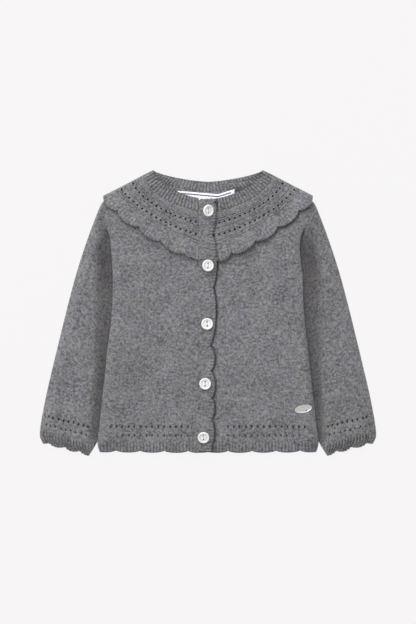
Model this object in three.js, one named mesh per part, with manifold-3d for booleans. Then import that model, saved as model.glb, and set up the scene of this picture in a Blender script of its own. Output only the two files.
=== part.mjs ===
// Baby cardigan laid flat, front side up. Millimetres, +Z up, +Y towards the neck, +X to the viewer's right.
// The origin is the middle of the outline on the surface that the cardigan lies on.
import * as THREE from 'three';
import { mergeVertices } from 'three/addons/utils/BufferGeometryUtils.js';
import Module from 'manifold-3d';

const wasm = await Module();
wasm.setup();

// Cloth and gaps
const WALL = 1.8;
const GAP = 0.3;
const LAYER = WALL + GAP;
const RIB_PITCH = 3.3;
const RIB_HEIGHT = 0.5;

// Body outline, one side: half width of the body at each height, from the hem up to the shoulder tip
const SIDE = [
  { y: -137, x: 107.0 }, { y: -132, x: 109.4 }, { y: -127, x: 110.7 }, { y: -112, x: 108.9 },
  { y: -95, x: 107.1 }, { y: -78, x: 105.3 }, { y: -58, x: 102.9 }, { y: -34, x: 100.5 },
  { y: -10, x: 97.4 }, { y: 14, x: 95.6 }, { y: 43, x: 95.6 }, { y: 60, x: 96.6 },
  { y: 77, x: 98.4 }, { y: 86, x: 101.6 }, { y: 95, x: 104.4 }, { y: 111, x: 104.0 },
];
const SHOULDER_TIP = new THREE.Vector2(104.0, 111.0);
const SHOULDER_NECK = new THREE.Vector2(64.2, 133.2);
const STRAIGHT_ROWS = [-112, -95, -78, -58, -34, -10, 14, 37, 60];
const YOKE_ROWS = [0.22, 0.44, 0.66, 0.83, 1.0];
const PANEL_COLUMNS = { shoulder: 5, shoulderSpread: 1.3, neckStart: 0.07, ramp: 3, rest: 6, edge: 2.5 };

// Hem
const HEM_Y = -137;
const HEM_RIB_ROWS = [-132, -127];
const HEM_SCALLOP = { first: 20, pitch: 24, depth: 3 };

// Sleeve outline: outer edge, and inner edge that is tucked under the body, from the cuff up
const SLEEVE_OUTER = [
  { x: 165.6, y: -130.5 }, { x: 168.0, y: -120 }, { x: 163.0, y: -86 }, { x: 156.2, y: -54 },
  { x: 148.4, y: -22 }, { x: 140.2, y: 10 }, { x: 131.0, y: 42 }, { x: 121.0, y: 74 }, { x: 107.6, y: 111 },
];
const SLEEVE_INNER = [
  { x: 119.9, y: -143.0 }, { x: 111.5, y: -127 }, { x: 104.0, y: -106 }, { x: 98.0, y: -81 },
  { x: 90.0, y: -46 }, { x: 82.0, y: -6 }, { x: 76.0, y: 29 }, { x: 74.0, y: 52 },
];
const SLEEVE_ROWS = [14.5, 30, 50, 72, 95, 118, 141, 163, 180, 191];
const SLEEVE_LOFT = { height: 3.4, start: 5, end: 18, fold: 10 };
const SLEEVE_FOLD = 4.5;
const SLEEVE_COLUMNS = { top: 9, under: 5 };
const CUFF = { rib: 13, middle: 6, depth: 1.9, notches: [0, 0.09, 0.48, 0.83, 1] };

// Neck: edges of the ribbed neckband, one side, from the fold at the side of the neck to the middle
const NECK_EDGE = { a: 54.5, top: 142.5, front: 28, back: 10.3, frontPower: 1.62, backPower: 1.45 };
const NECK_SEAM = { a: 64.0, top: 139.5, front: 37, back: 17, frontPower: 1.7, backPower: 1.5 };
const SEAM_STEP = 0.6;
const PANEL_SEAM_STEP = 0.9;
const NECKBAND = { wall: 2.2, low: 0.6, sink: 0.2, frontRibs: 44, backRibs: 38 };

// Collar: line of the notches between its scallops
const COLLAR_EDGE = { a: 101.5, top: 114, front: 61.5, back: 41, frontPower: 1.2, backPower: 1.4 };
const COLLAR_SCALLOP = { firstFront: 17, firstBack: 11, pitch: 28, depth: 4.5 };
const BACK_SCALLOPS = 4;
const COLLAR_RIDGE = { places: [0.25, 0.48], width: 0.035, height: 0.5 };
const COLLAR_FRILL = { start: 0.72, middle: 0.88 };
const COLLAR_REST = 0.95;
const FOLD_RADIUS = 4.2;
const NEAR_FOLD = [0, 0.012, 0.03, 0.055, 0.09];
const PAST_FOLD = 0.14;

// Front bands
const BAND_LEFT_EDGE = -8;
const BAND_TOP = { y: 115, x: -1, halfWidth: 7, drop: 3 };
const BAND_NOTCHES = [
  { y: 115, x: 5.2, depth: 1.2 }, { y: 79, x: 4.0, depth: 3.2 }, { y: 26, x: 4.0, depth: 4.0 },
  { y: -32, x: 0.8, depth: 4.1 }, { y: -57, x: 1.2, depth: 3.7 }, { y: -84, x: 2.4, depth: 3.0 },
  { y: -105, x: 2.4, depth: 2.7 }, { y: -132, x: 2.4, depth: 1.0 }, { y: -138, x: 1.0, depth: 0 },
];
const BAND_EDGING = { width: 5, step: 0.5 };
const BAND_ROWS = { plain: 10, edging: 6, inner: 4.2 };
const UNDER_BAND = { left: -6.5, right: 7.4, top: 113 };
const FRONT_RIGHT_START = GAP - BAND_LEFT_EDGE;
const FRONT_LEFT_START = 7.8;

// Hollow between back and front, and the slopes where a layer climbs over another
const LOFT = { side: 1.3, underBand: 0.9, overBand: 3.0, bandStart: 45, bandEnd: 10, edge: 12 };
const TUCK_SLOPE = { start: 33, end: 7 };
const HEM_SLOPE = { start: -137, end: -124, least: 0.08 };
const COLLAR_SLOPE = { start: -30, end: -12 };
const BAND_SLOPE = { start: 36, end: 60, height: 1.5 };

// Buttons, label, plate
const BUTTON = {
  radius: 6, height: 2.2, rim: 1.1, shank: 1.6, lift: 0.9, hole: 0.75, holeSpacing: 1.7,
  undercut: 0.8, edge: 0.4, sink: 0.8, holeDepth: 0.8, sides: 20, holeSides: 8,
};
const BUTTONS = [
  { x: -0.6, y: 103.2 }, { x: -0.5, y: 48.3 }, { x: -1.0, y: -9.8 },
  { x: -2.8, y: -69.4 }, { x: -4.5, y: -122.8 },
];
const LABEL = { thickness: 0.5, width: 7.6 };
const LABEL_LINE = [{ x: -30.5, y: 119.4 }, { x: 10.0, y: 115.9 }, { x: 26.5, y: 120.9 }];
const PLATE = { x: 95.1, y: -94.7, length: 17.5, width: 8, thickness: 1.0, edge: 0.25, chamfer: 0.4, turn: 11 };

// Colours and finishes
const wool = new THREE.MeshStandardMaterial({ color: 0x77777b, roughness: 0.95, metalness: 0 });
const shell = new THREE.MeshStandardMaterial({ color: 0xe6e5e0, roughness: 0.35, metalness: 0 });
const tape = new THREE.MeshStandardMaterial({ color: 0xf0f1f4, roughness: 0.8, metalness: 0 });
const steel = new THREE.MeshStandardMaterial({ color: 0xb9bab9, roughness: 0.3, metalness: 1 });

// Eased share of the way between two values, the larger one first or last
function smooth(from, to, value) {
  return THREE.MathUtils.smoothstep((value - from) / (to - from), 0, 1);
}

// x at a height in a table with rising y
function lookup(table, y) {
  const above = table.findIndex((row) => row.y >= y);
  const i = above < 0 ? table.length - 1 : Math.max(1, above);
  const [a, b] = [table[i - 1], table[i]];
  return THREE.MathUtils.lerp(a.x, b.x, THREE.MathUtils.clamp((y - a.y) / (b.y - a.y), 0, 1));
}

// Round lobe between two notches, 0 at whole numbers and 1 half way
function lobe(g) {
  const inside = g - Math.floor(g);
  return Math.pow(4 * inside * (1 - inside), 0.6);
}

function evenly(from, to, count) {
  return Array.from({ length: count + 1 }, (unused, i) => THREE.MathUtils.lerp(from, to, i / count));
}

function stepped(from, to, step) {
  return evenly(from, to, Math.round(Math.abs(to - from) / step));
}

// A closed solid, put together from strips between rows of points
class Piece {
  constructor() {
    this.points = [];
  }

  triangle(a, b, c) {
    this.points.push(...a, ...b, ...c);
  }

  // Distance along a row at each point, from 0 to 1
  static fractions(row) {
    const along = [0];
    for (let i = 1; i < row.length; i++) {
      const step = Math.hypot(row[i][0] - row[i - 1][0], row[i][1] - row[i - 1][1], row[i][2] - row[i - 1][2]);
      along.push(along[i - 1] + step);
    }
    return along.map((d) => d / along.at(-1));
  }

  // Triangles between two rows, which may have different numbers of points
  strip(a, b) {
    const same = a.length === b.length;
    const fa = same ? a.map((p, i) => i) : Piece.fractions(a);
    const fb = same ? b.map((p, i) => i) : Piece.fractions(b);
    let i = 0;
    let j = 0;
    while (i < a.length - 1 || j < b.length - 1) {
      const stepA = j === b.length - 1 || (i < a.length - 1 && fa[i + 1] <= fb[j + 1]);
      if (stepA) {
        this.triangle(a[i], a[i + 1], b[j]);
        i++;
      } else {
        this.triangle(a[i], b[j + 1], b[j]);
        j++;
      }
    }
  }

  face(rows, reversed = false) {
    for (let r = 0; r < rows.length - 1; r++) {
      if (reversed) this.strip(rows[r + 1], rows[r]);
      else this.strip(rows[r], rows[r + 1]);
    }
  }

  // Wall between an outer and an inner face, with its rims
  wall(outer, inner, sides = true) {
    this.face(outer);
    this.face(inner, true);
    this.strip(inner[0], outer[0]);
    this.strip(outer.at(-1), inner.at(-1));
    if (sides) {
      this.strip(outer.map((row) => row[0]), inner.map((row) => row[0]));
      this.strip(inner.map((row) => row.at(-1)), outer.map((row) => row.at(-1)));
    }
  }

  geometry() {
    const raw = new THREE.BufferGeometry();
    raw.setAttribute('position', new THREE.Float32BufferAttribute(this.points, 3));
    const merged = mergeVertices(raw, 1e-4);
    return signedVolume(merged) < 0 ? turned(merged) : merged;
  }
}

function signedVolume(geometry) {
  const p = geometry.attributes.position;
  const index = geometry.index.array;
  const [a, b, c] = [new THREE.Vector3(), new THREE.Vector3(), new THREE.Vector3()];
  let sum = 0;
  for (let i = 0; i < index.length; i += 3) {
    a.fromBufferAttribute(p, index[i]);
    b.fromBufferAttribute(p, index[i + 1]);
    c.fromBufferAttribute(p, index[i + 2]);
    sum += a.dot(b.cross(c));
  }
  return sum;
}

function turned(geometry) {
  const index = Array.from(geometry.index.array);
  for (let i = 0; i < index.length; i += 3) [index[i + 1], index[i + 2]] = [index[i + 2], index[i + 1]];
  geometry.setIndex(index);
  return geometry;
}

const mirrorPoint = ([x, y, z]) => [-x, y, z];
const cardigan = new THREE.Group();

function add(name, geometry, material) {
  geometry.computeVertexNormals();
  const mesh = new THREE.Mesh(geometry, material);
  mesh.name = name;
  cardigan.add(mesh);
  return mesh;
}

// Curve from the fold at the side to the middle: a rounded V whose power sets how full it is
class Rim extends THREE.Curve {
  constructor(edge, half, endX = 0, out = 0) {
    super();
    this.a = edge.a + out;
    this.top = edge.top;
    this.depth = edge[half] + out;
    this.power = edge[`${half}Power`];
    this.turn = Math.acos(Math.pow(endX / this.a, this.power / 2));
  }

  getPoint(t, target = new THREE.Vector3()) {
    const angle = t * this.turn;
    const x = this.a * Math.pow(Math.cos(angle), 2 / this.power);
    const y = this.top - this.depth * Math.pow(Math.sin(angle), 2 / this.power);
    return target.set(x, y, 0);
  }
}

// Heights of the layers, for a point on either side (x may be negative)
const bodyEdge = (y) => lookup(SIDE, y);
const sleeveEnd = { x: SLEEVE_OUTER.at(-1).x, y: SLEEVE_OUTER.at(-1).y };
const sleeveHidden = [...SLEEVE_INNER, sleeveEnd];
const tuckWidth = (y) => Math.max(0, bodyEdge(y) - lookup(sleeveHidden, y));

function backCollarY(x) {
  const { a, top, back, backPower } = COLLAR_EDGE;
  const inside = Math.max(0, 1 - Math.pow(Math.min(1, Math.abs(x) / a), backPower));
  return top - back * Math.pow(inside, 1 / backPower);
}

// Underside of the back panel: up over the tucked sleeves, and over the back of the collar
function backLow(x, y) {
  const inward = bodyEdge(y) - Math.abs(x) - tuckWidth(y);
  const nearHem = THREE.MathUtils.lerp(HEM_SLOPE.least, 1, smooth(HEM_SLOPE.start, HEM_SLOPE.end, y));
  const overSleeve = 2 * LAYER * smooth(TUCK_SLOPE.start, TUCK_SLOPE.end, inward) * nearHem;
  const overCollar = LAYER * smooth(COLLAR_SLOPE.start, COLLAR_SLOPE.end, y - backCollarY(x));
  return Math.max(overSleeve, overCollar);
}

// How far a point lies below the shoulder line
function shoulderDistance(x, y) {
  const along = SHOULDER_NECK.clone().sub(SHOULDER_TIP).normalize();
  return along.cross(new THREE.Vector2(Math.abs(x), y).sub(SHOULDER_TIP));
}

function frontLow(x, y) {
  const middle = x < 0 ? LOFT.overBand : LOFT.underBand;
  const loft = THREE.MathUtils.lerp(LOFT.side, middle, smooth(LOFT.bandStart, LOFT.bandEnd, Math.abs(x)));
  const edge = Math.min(bodyEdge(y) - Math.abs(x), shoulderDistance(x, y));
  return backLow(x, y) + LAYER + loft * smooth(0, LOFT.edge, edge);
}

const frontTop = (x, y) => frontLow(x, y) + WALL;

// Hem edge: scallops between notches
function hemY(x) {
  const { first, pitch, depth } = HEM_SCALLOP;
  return HEM_Y - depth * lobe((Math.abs(x) - first) / pitch);
}

// Half widths across the body at one height, closer together over the tucked sleeve
function across(y, inner) {
  const { edge, ramp, rest } = PANEL_COLUMNS;
  const outer = bodyEdge(y);
  const tuck = outer - tuckWidth(y);
  const slope = evenly(tuck - TUCK_SLOPE.end, tuck - TUCK_SLOPE.start, ramp);
  return [outer, outer - edge, ...slope, ...evenly(slope.at(-1), inner, rest).slice(1)];
}

// Rows of a body panel in plan, one side, from the hem up to the shoulder and neck
function panelPlan(neck, inner) {
  const { shoulder, shoulderSpread, neckStart } = PANEL_COLUMNS;
  const rows = [...HEM_RIB_ROWS, ...STRAIGHT_ROWS].map((y) => across(y, inner).map((x) => [x, y]));
  const start = rows.at(-1);
  const last = start.length - 1;
  const end = start.map((unused, c) => {
    const share = (c - shoulder) / (last - shoulder);
    const p = c <= shoulder
      ? SHOULDER_TIP.clone().lerp(SHOULDER_NECK, Math.pow(c / shoulder, shoulderSpread))
      : neck.getPointAt(THREE.MathUtils.lerp(neckStart, 1, share));
    return [p.x, p.y];
  });
  for (const v of YOKE_ROWS) {
    const y0 = THREE.MathUtils.lerp(start[0][1], end[0][1], v);
    const bend = bodyEdge(y0) - THREE.MathUtils.lerp(start[0][0], end[0][0], v);
    rows.push(start.map(([x, y], c) => [
      THREE.MathUtils.lerp(x, end[c][0], v) + bend * Math.pow(1 - c / last, 2),
      THREE.MathUtils.lerp(y, end[c][1], v),
    ]));
  }
  return rows;
}

// Front panel; side is -1 for the one on the viewer's left
function frontPanel(name, side, inner) {
  const neck = new Rim(NECK_SEAM, 'front', inner, PANEL_SEAM_STEP);
  const plan = panelPlan(neck, inner);
  const at = (height) => ([x, y]) => [side * x, y, height(side * x, y)];
  const ribRow = (y, raise) => stepped(bodyEdge(y), inner, RIB_PITCH / 2).map((x, i) => {
    const place = y === HEM_Y ? hemY(x) : y;
    return [side * x, place, frontTop(side * x, y) + (i % 2 ? raise : 0)];
  });
  const outer = [
    ...[HEM_Y, ...HEM_RIB_ROWS].map((y) => ribRow(y, RIB_HEIGHT)),
    ...plan.slice(HEM_RIB_ROWS.length).map((row) => row.map(at(frontTop))),
  ];
  const hem = ribRow(HEM_Y, 0).map(([x, y, z]) => [x, y, z - WALL]);
  const inside = [hem, ...plan.map((row) => row.map(at(frontLow)))];
  const piece = new Piece();
  piece.wall(outer, inside);
  add(name, piece.geometry(), wool);
}

function backPanel() {
  const neck = new Rim(NECK_SEAM, 'back', 0, PANEL_SEAM_STEP);
  const half = panelPlan(neck, 0);
  const hemHalf = stepped(bodyEdge(HEM_Y), 0, HEM_SCALLOP.pitch / 6).map((x) => [x, hemY(x)]);
  const plan = [hemHalf, ...half].map((row) => [
    ...row.map(([x, y]) => [-x, y]),
    ...row.slice(0, -1).reverse(),
  ]);
  const low = plan.map((row) => row.map(([x, y]) => [x, y, backLow(x, Math.max(y, HEM_Y))]));
  const high = low.map((row) => row.map(([x, y, z]) => [x, y, z + WALL]));
  const piece = new Piece();
  piece.wall(high, low);
  add('back', piece.geometry(), wool);
}

// Scallops of a cuff between its notches, from the outer edge inwards
function cuffLobe(share) {
  const i = Math.max(1, CUFF.notches.findIndex((notch) => notch >= share));
  return lobe(THREE.MathUtils.inverseLerp(CUFF.notches[i - 1], CUFF.notches[i], share));
}

// Sleeve: one flattened tube, from the cuff to the armhole
function sleeve(name, side) {
  const curve = (table) => new THREE.SplineCurve(table.map(({ x, y }) => new THREE.Vector2(x, y)));
  const outerEdge = curve(SLEEVE_OUTER);
  const innerEdge = curve(SLEEVE_INNER);
  const length = innerEdge.getLength();
  const innerFold = LAYER - GAP / 2;

  // One row: top and bottom, outer and inner points, between the two folds
  function section(along) {
    const v = along / length;
    const a = outerEdge.getPointAt(v);
    const b = innerEdge.getPointAt(v);
    const width = a.distanceTo(b);
    const inwards = b.clone().sub(a).normalize();
    const down = new THREE.Vector2(inwards.y, -inwards.x);
    const ribbed = along <= CUFF.rib;
    const place = (s) => {
      const drop = along === 0 ? CUFF.depth * cuffLobe(s / width) : 0;
      return [a.x + inwards.x * s + down.x * drop, a.y + inwards.y * s + down.y * drop];
    };
    const topAt = (s) => {
      const [x, y] = place(s);
      const { height, start, end, fold } = SLEEVE_LOFT;
      return 2 * LAYER - GAP + height * smooth(start, end, x - bodyEdge(y)) * smooth(0, fold, s);
    };
    const top = ribbed
      ? stepped(SLEEVE_FOLD, width - innerFold, RIB_PITCH / 2)
      : evenly(SLEEVE_FOLD, width - innerFold, SLEEVE_COLUMNS.top);
    const under = evenly(SLEEVE_FOLD, width - innerFold, SLEEVE_COLUMNS.under);
    const rows = { topOut: [], topIn: [], lowOut: [], lowIn: [] };
    const put = (row, s, z) => {
      const [x, y] = place(s);
      row.push([side * x, y, z]);
    };
    const turn = (centreS, direction, radius, angle, list, upper) => {
      const middle = topAt(centreS) / 2;
      const aside = direction * Math.cos(angle);
      const rise = (upper ? 1 : -1) * Math.sin(angle);
      put(rows[`${list}Out`], centreS + aside * radius, middle + rise * middle);
      put(rows[`${list}In`], centreS + aside * (radius - WALL), middle + rise * (middle - WALL));
    };
    const angles = [0, Math.PI / 5, 2 * Math.PI / 5];
    for (const [list, upper, stations] of [['top', true, top], ['low', false, under]]) {
      for (const angle of angles) turn(SLEEVE_FOLD, -1, SLEEVE_FOLD, angle, list, upper);
      stations.forEach((s, i) => {
        const z = upper ? topAt(s) : 0;
        const inset = upper ? -WALL : WALL;
        const raise = upper && ribbed && i % 2 ? RIB_HEIGHT : 0;
        put(rows[`${list}Out`], s, z + raise);
        if (!upper || !ribbed || i % 3 === 0 || i === stations.length - 1) put(rows[`${list}In`], s, z + inset);
      });
      for (const angle of [...angles].reverse()) turn(width - innerFold, 1, innerFold, angle, list, upper);
    }
    return rows;
  }

  const sections = [0, CUFF.middle, CUFF.rib, ...SLEEVE_ROWS, length].map(section);
  const piece = new Piece();
  piece.wall(sections.map((s) => s.topOut), sections.map((s) => s.topIn), false);
  piece.wall(sections.map((s) => s.lowIn), sections.map((s) => s.lowOut), false);
  add(name, piece.geometry(), wool);
}

// Strip round the neck, from one front over the side folds and behind the neck to the other front
class FoldedStrip {
  constructor(near, far, nearOut, endLeft, endRight) {
    const curves = (edge, out) => ({
      left: new Rim(edge, 'front', endLeft, out),
      right: new Rim(edge, 'front', endRight, out),
      back: new Rim(edge, 'back', 0, out),
    });
    this.near = curves(near, nearOut);
    this.far = curves(far, 0);
    this.farShift = () => 0;
  }

  farPoint(part, f) {
    const curve = this.far[part];
    const p = curve.getPointAt(f);
    const tangent = f === 0 ? new THREE.Vector3(0, -1, 0) : curve.getTangentAt(f);
    const shift = this.farShift(part === 'back' ? 'back' : 'front', f * curve.getLength(), curve.getLength());
    return p.add(new THREE.Vector3(-tangent.y, tangent.x, 0).multiplyScalar(shift));
  }

  // Plan point at f along a half and t across the strip
  plan(part, f, t) {
    return this.near[part].getPointAt(f).lerp(this.farPoint(part, f), t);
  }

  // A point of the fold line at the side, and the direction outwards
  foldFrame() {
    const a = this.near.back.getPointAt(0);
    const b = this.farPoint('back', 0);
    const along = b.clone().sub(a).normalize();
    const out = new THREE.Vector3(-along.y, along.x, 0);
    if (out.y < 0) out.negate();
    return { a, out };
  }

  // Outer and inner point of the strip, in front or behind
  point(side, part, f, t, topZ, lowZ, wall, raise) {
    const p = this.plan(part, f, t);
    const { a, out } = this.foldFrame();
    const inside = Math.max(0, -p.clone().sub(a).dot(out));
    const turn = Math.acos(1 - Math.min(1, inside / FOLD_RADIUS));
    const top = topZ(side * p.x, p.y);
    const low = lowZ(side * p.x, p.y);
    const middle = (top + low) / 2;
    const half = (top - low) / 2;
    const sign = part === 'back' ? -1 : 1;
    const normal = new THREE.Vector3(out.x * Math.cos(turn), out.y * Math.cos(turn), sign * Math.sin(turn));
    const outer = p.clone().setZ(middle + sign * half * Math.sin(turn));
    const inner = outer.clone().addScaledVector(normal, -wall);
    outer.addScaledVector(normal, raise);
    return [outer, inner].map((v) => [side * v.x, v.y, v.z]);
  }

  // One row through all four quarters, with places for a front one and for a back one
  row(t, front, back, make) {
    const out = [];
    const push = (side, part, list) => list.forEach((f, i) => out.push(make(side, part, f, t, i)));
    push(-1, 'left', [...front].reverse());
    push(-1, 'back', back.slice(1));
    push(1, 'back', [...back].reverse().slice(1));
    push(1, 'right', front.slice(1));
    return out;
  }
}

function stations(count) {
  return [...NEAR_FOLD, ...evenly(PAST_FOLD, 1, count)];
}

function collar() {
  const strip = new FoldedStrip(NECK_SEAM, COLLAR_EDGE, SEAM_STEP, FRONT_RIGHT_START, FRONT_LEFT_START);
  const { firstFront, firstBack, pitch, depth } = COLLAR_SCALLOP;
  strip.farShift = (half, along, total) => {
    const first = half === 'front' ? firstFront : firstBack;
    const step = half === 'front' ? pitch : (total - firstBack) / BACK_SCALLOPS;
    return depth * lobe((along - first) / (along < first ? pitch : step));
  };
  const topZ = (x, y) => frontTop(x, y) + COLLAR_REST + WALL;
  const lowZ = () => 0;
  const coarse = { front: stations(11), back: stations(8) };
  const fine = { front: stations(27), back: stations(23) };
  const rowOf = (t, set, raise) => strip.row(t, set.front, set.back, (side, part, f) => (
    strip.point(side, part, f, t, topZ, lowZ, WALL, part === 'back' ? 0 : raise)));
  const { places, width, height } = COLLAR_RIDGE;
  const { start, middle } = COLLAR_FRILL;
  const ridges = places.flatMap((t) => [[t - width, 0], [t, height], [t + width, 0]]);
  const outer = [[0, 0], ...ridges, [start, 0]].map(([t, raise]) => rowOf(t, coarse, raise).map((p) => p[0]));
  const inner = [0, start / 2, start].map((t) => rowOf(t, coarse, 0).map((p) => p[1]));
  for (const t of [middle, 1]) {
    const row = rowOf(t, fine, 0);
    outer.push(row.map((p) => p[0]));
    inner.push(row.map((p) => p[1]));
  }
  const piece = new Piece();
  piece.wall(outer, inner);
  add('collar', piece.geometry(), wool);
}

function neckband() {
  const strip = new FoldedStrip(NECK_SEAM, NECK_EDGE, 0, FRONT_RIGHT_START, FRONT_LEFT_START);
  const topZ = (x, y) => frontTop(x, y) + LAYER - NECKBAND.sink;
  const lowZ = () => NECKBAND.low;
  const ribs = { front: evenly(0, 1, NECKBAND.frontRibs), back: evenly(0, 1, NECKBAND.backRibs) };
  const plain = { front: stations(9), back: stations(6) };
  const rowOf = (t, set, raise) => strip.row(t, set.front, set.back, (side, part, f, across, i) => (
    strip.point(side, part, f, across, topZ, lowZ, NECKBAND.wall, i % 2 ? raise : 0)));
  const outer = [0, 0.5, 1].map((t) => rowOf(t, ribs, RIB_HEIGHT).map((p) => p[0]));
  const inner = [0, 0.5, 1].map((t) => rowOf(t, plain, 0).map((p) => p[1]));
  const piece = new Piece();
  piece.wall(outer, inner);
  add('neckband', piece.geometry(), wool);
}

// Scalloped free edge of the top band
function bandEdge(y) {
  const i = Math.max(1, BAND_NOTCHES.findIndex((row) => row.y <= y));
  const a = BAND_NOTCHES[i - 1];
  const b = BAND_NOTCHES[i];
  const g = THREE.MathUtils.clamp((a.y - y) / (a.y - b.y), 0, 1);
  return THREE.MathUtils.lerp(a.x, b.x, g) + a.depth * lobe(g);
}

const underBandLow = (y) => backLow(0, y) + LAYER + LOFT.underBand;
const bandClimb = (y) => BAND_SLOPE.height * smooth(BAND_SLOPE.start, BAND_SLOPE.end, y);
const bandLow = (y) => underBandLow(y) + LAYER + bandClimb(y);
const bandTopY = (x) => BAND_TOP.y - BAND_TOP.drop * Math.pow((x - BAND_TOP.x) / BAND_TOP.halfWidth, 2);

function bandRight() {
  const fineStep = RIB_PITCH / 2;
  const line = (xAt, step, raise, inset) => stepped(HEM_Y, BAND_TOP.y, step).map((y, i) => {
    const x = xAt(y);
    return [x, Math.min(y, bandTopY(x)), bandLow(y) + WALL - inset + (i % 2 ? raise : 0)];
  });
  const left = () => BAND_LEFT_EDGE;
  const edging = (y) => bandEdge(y) - BAND_EDGING.width;
  const outer = [
    line(left, BAND_ROWS.plain, 0, 0), line((y) => edging(y) - BAND_EDGING.step, BAND_ROWS.edging, 0, 0),
    line(edging, fineStep, RIB_HEIGHT, 0), line(bandEdge, fineStep, RIB_HEIGHT, 0),
  ];
  const inner = [line(left, BAND_ROWS.plain, 0, WALL), line(bandEdge, BAND_ROWS.inner, 0, WALL)];
  const piece = new Piece();
  piece.wall(outer, inner);
  add('band_right', piece.geometry(), wool);
}

function bandLeft() {
  const { left, right, top } = UNDER_BAND;
  const line = (x, inset) => stepped(HEM_Y, top, BAND_ROWS.plain).map((y) => (
    [x, y, underBandLow(y) + WALL - inset]));
  const piece = new Piece();
  piece.wall([line(left, 0), line(right, 0)], [line(left, WALL), line(right, WALL)]);
  add('band_left', piece.geometry(), wool);
}

// Solids for cutting
function toManifold(geometry) {
  const bare = geometry.clone();
  bare.deleteAttribute('normal');
  bare.deleteAttribute('uv');
  const merged = mergeVertices(bare, 1e-4);
  return new wasm.Manifold(new wasm.Mesh({
    numProp: 3,
    vertProperties: new Float32Array(merged.attributes.position.array),
    triVerts: new Uint32Array(merged.index.array),
  }));
}

function fromManifold(solid) {
  const mesh = solid.getMesh();
  const geometry = new THREE.BufferGeometry();
  geometry.setAttribute('position', new THREE.BufferAttribute(new Float32Array(mesh.vertProperties), 3));
  geometry.setIndex(new THREE.BufferAttribute(new Uint32Array(mesh.triVerts), 1));
  return geometry;
}

// Two-hole button: domed rim, sunk middle, and a short thread shank under it
function buttonGeometry() {
  const { radius, height, rim, shank, lift, hole, holeSpacing, undercut, edge, sink, holeDepth } = BUTTON;
  const [under, face] = [lift - GAP, lift + height];
  const profile = [
    [0, 0], [shank, 0], [shank, under], [radius - undercut, under], [radius, lift + edge],
    [radius - edge, face - edge], [radius - rim, face], [radius - rim - sink, face - sink], [0, face - sink],
  ].map(([r, z]) => new THREE.Vector2(r, z));
  let solid = toManifold(new THREE.LatheGeometry(profile, BUTTON.sides).rotateX(Math.PI / 2));
  for (const y of [-holeSpacing, holeSpacing]) {
    const drill = new THREE.CylinderGeometry(hole, hole, height, BUTTON.holeSides).rotateX(Math.PI / 2);
    drill.translate(0, y, face - sink - holeDepth + height / 2);
    solid = solid.subtract(toManifold(drill));
  }
  return fromManifold(solid);
}

function buttons() {
  BUTTONS.forEach(({ x, y }, i) => {
    const mesh = add(`button_${i + 1}`, buttonGeometry(), shell);
    const z = Math.max(bandLow(y - BUTTON.radius), bandLow(y), bandLow(y + BUTTON.radius)) + WALL + GAP;
    mesh.position.set(x, y, z);
  });
}

// Woven tape inside the back neck, bent once
function label() {
  const { thickness, width } = LABEL;
  const height = backLow(0, LABEL_LINE[1].y) + LAYER;
  const line = (dy, z) => LABEL_LINE.map((p) => [p.x, p.y + dy, z]);
  const faces = (z) => [line(-width / 2, z), line(width / 2, z)];
  const piece = new Piece();
  piece.wall(faces(height + thickness), faces(height));
  add('label', piece.geometry(), tape);
}

// Bare oval metal plate, tilted as the cloth under it
function plate() {
  const { x, y, length, width, thickness, edge, chamfer, turn } = PLATE;
  const outline = new THREE.Shape();
  outline.absellipse(0, 0, length / 2, width / 2, 0, Math.PI * 2);
  const geometry = new THREE.ExtrudeGeometry(outline, {
    depth: thickness - 2 * edge, curveSegments: 12, bevelEnabled: true,
    bevelThickness: edge, bevelSize: chamfer, bevelOffset: -chamfer, bevelSegments: 1,
  });
  geometry.deleteAttribute('normal');
  geometry.deleteAttribute('uv');
  const mesh = add('plate', mergeVertices(geometry, 1e-4), steel);
  const reach = length / 2;
  const slope = (frontTop(x + reach, y) - frontTop(x - reach, y)) / length;
  const under = evenly(-reach, reach, 8).flatMap((dx) => evenly(-width / 2, width / 2, 2).map((dy) => (
    frontTop(x + dx, y + dy) - slope * dx)));
  mesh.rotation.order = 'YZX';
  mesh.rotation.set(0, -Math.atan(slope), THREE.MathUtils.degToRad(turn));
  mesh.position.set(x, y, Math.max(...under) + GAP + edge);
}

backPanel();
frontPanel('front_right', -1, FRONT_RIGHT_START);
frontPanel('front_left', 1, FRONT_LEFT_START);
sleeve('sleeve_right', -1);
sleeve('sleeve_left', 1);
collar();
neckband();
bandRight();
bandLeft();
buttons();
label();
plate();

export default cardigan;
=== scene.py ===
"""Baby cardigan laid flat: the knitted cloth, buttons, tape and plate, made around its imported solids.

Objects are in metres. Sizes in plan are in millimetres, as on a knitter's pattern; MM turns them into metres.
"""
import bisect
import math

import bmesh
import bpy
from bpy.props import FloatProperty, FloatVectorProperty, PointerProperty
from mathutils import Matrix, Vector, kdtree, noise


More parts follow.
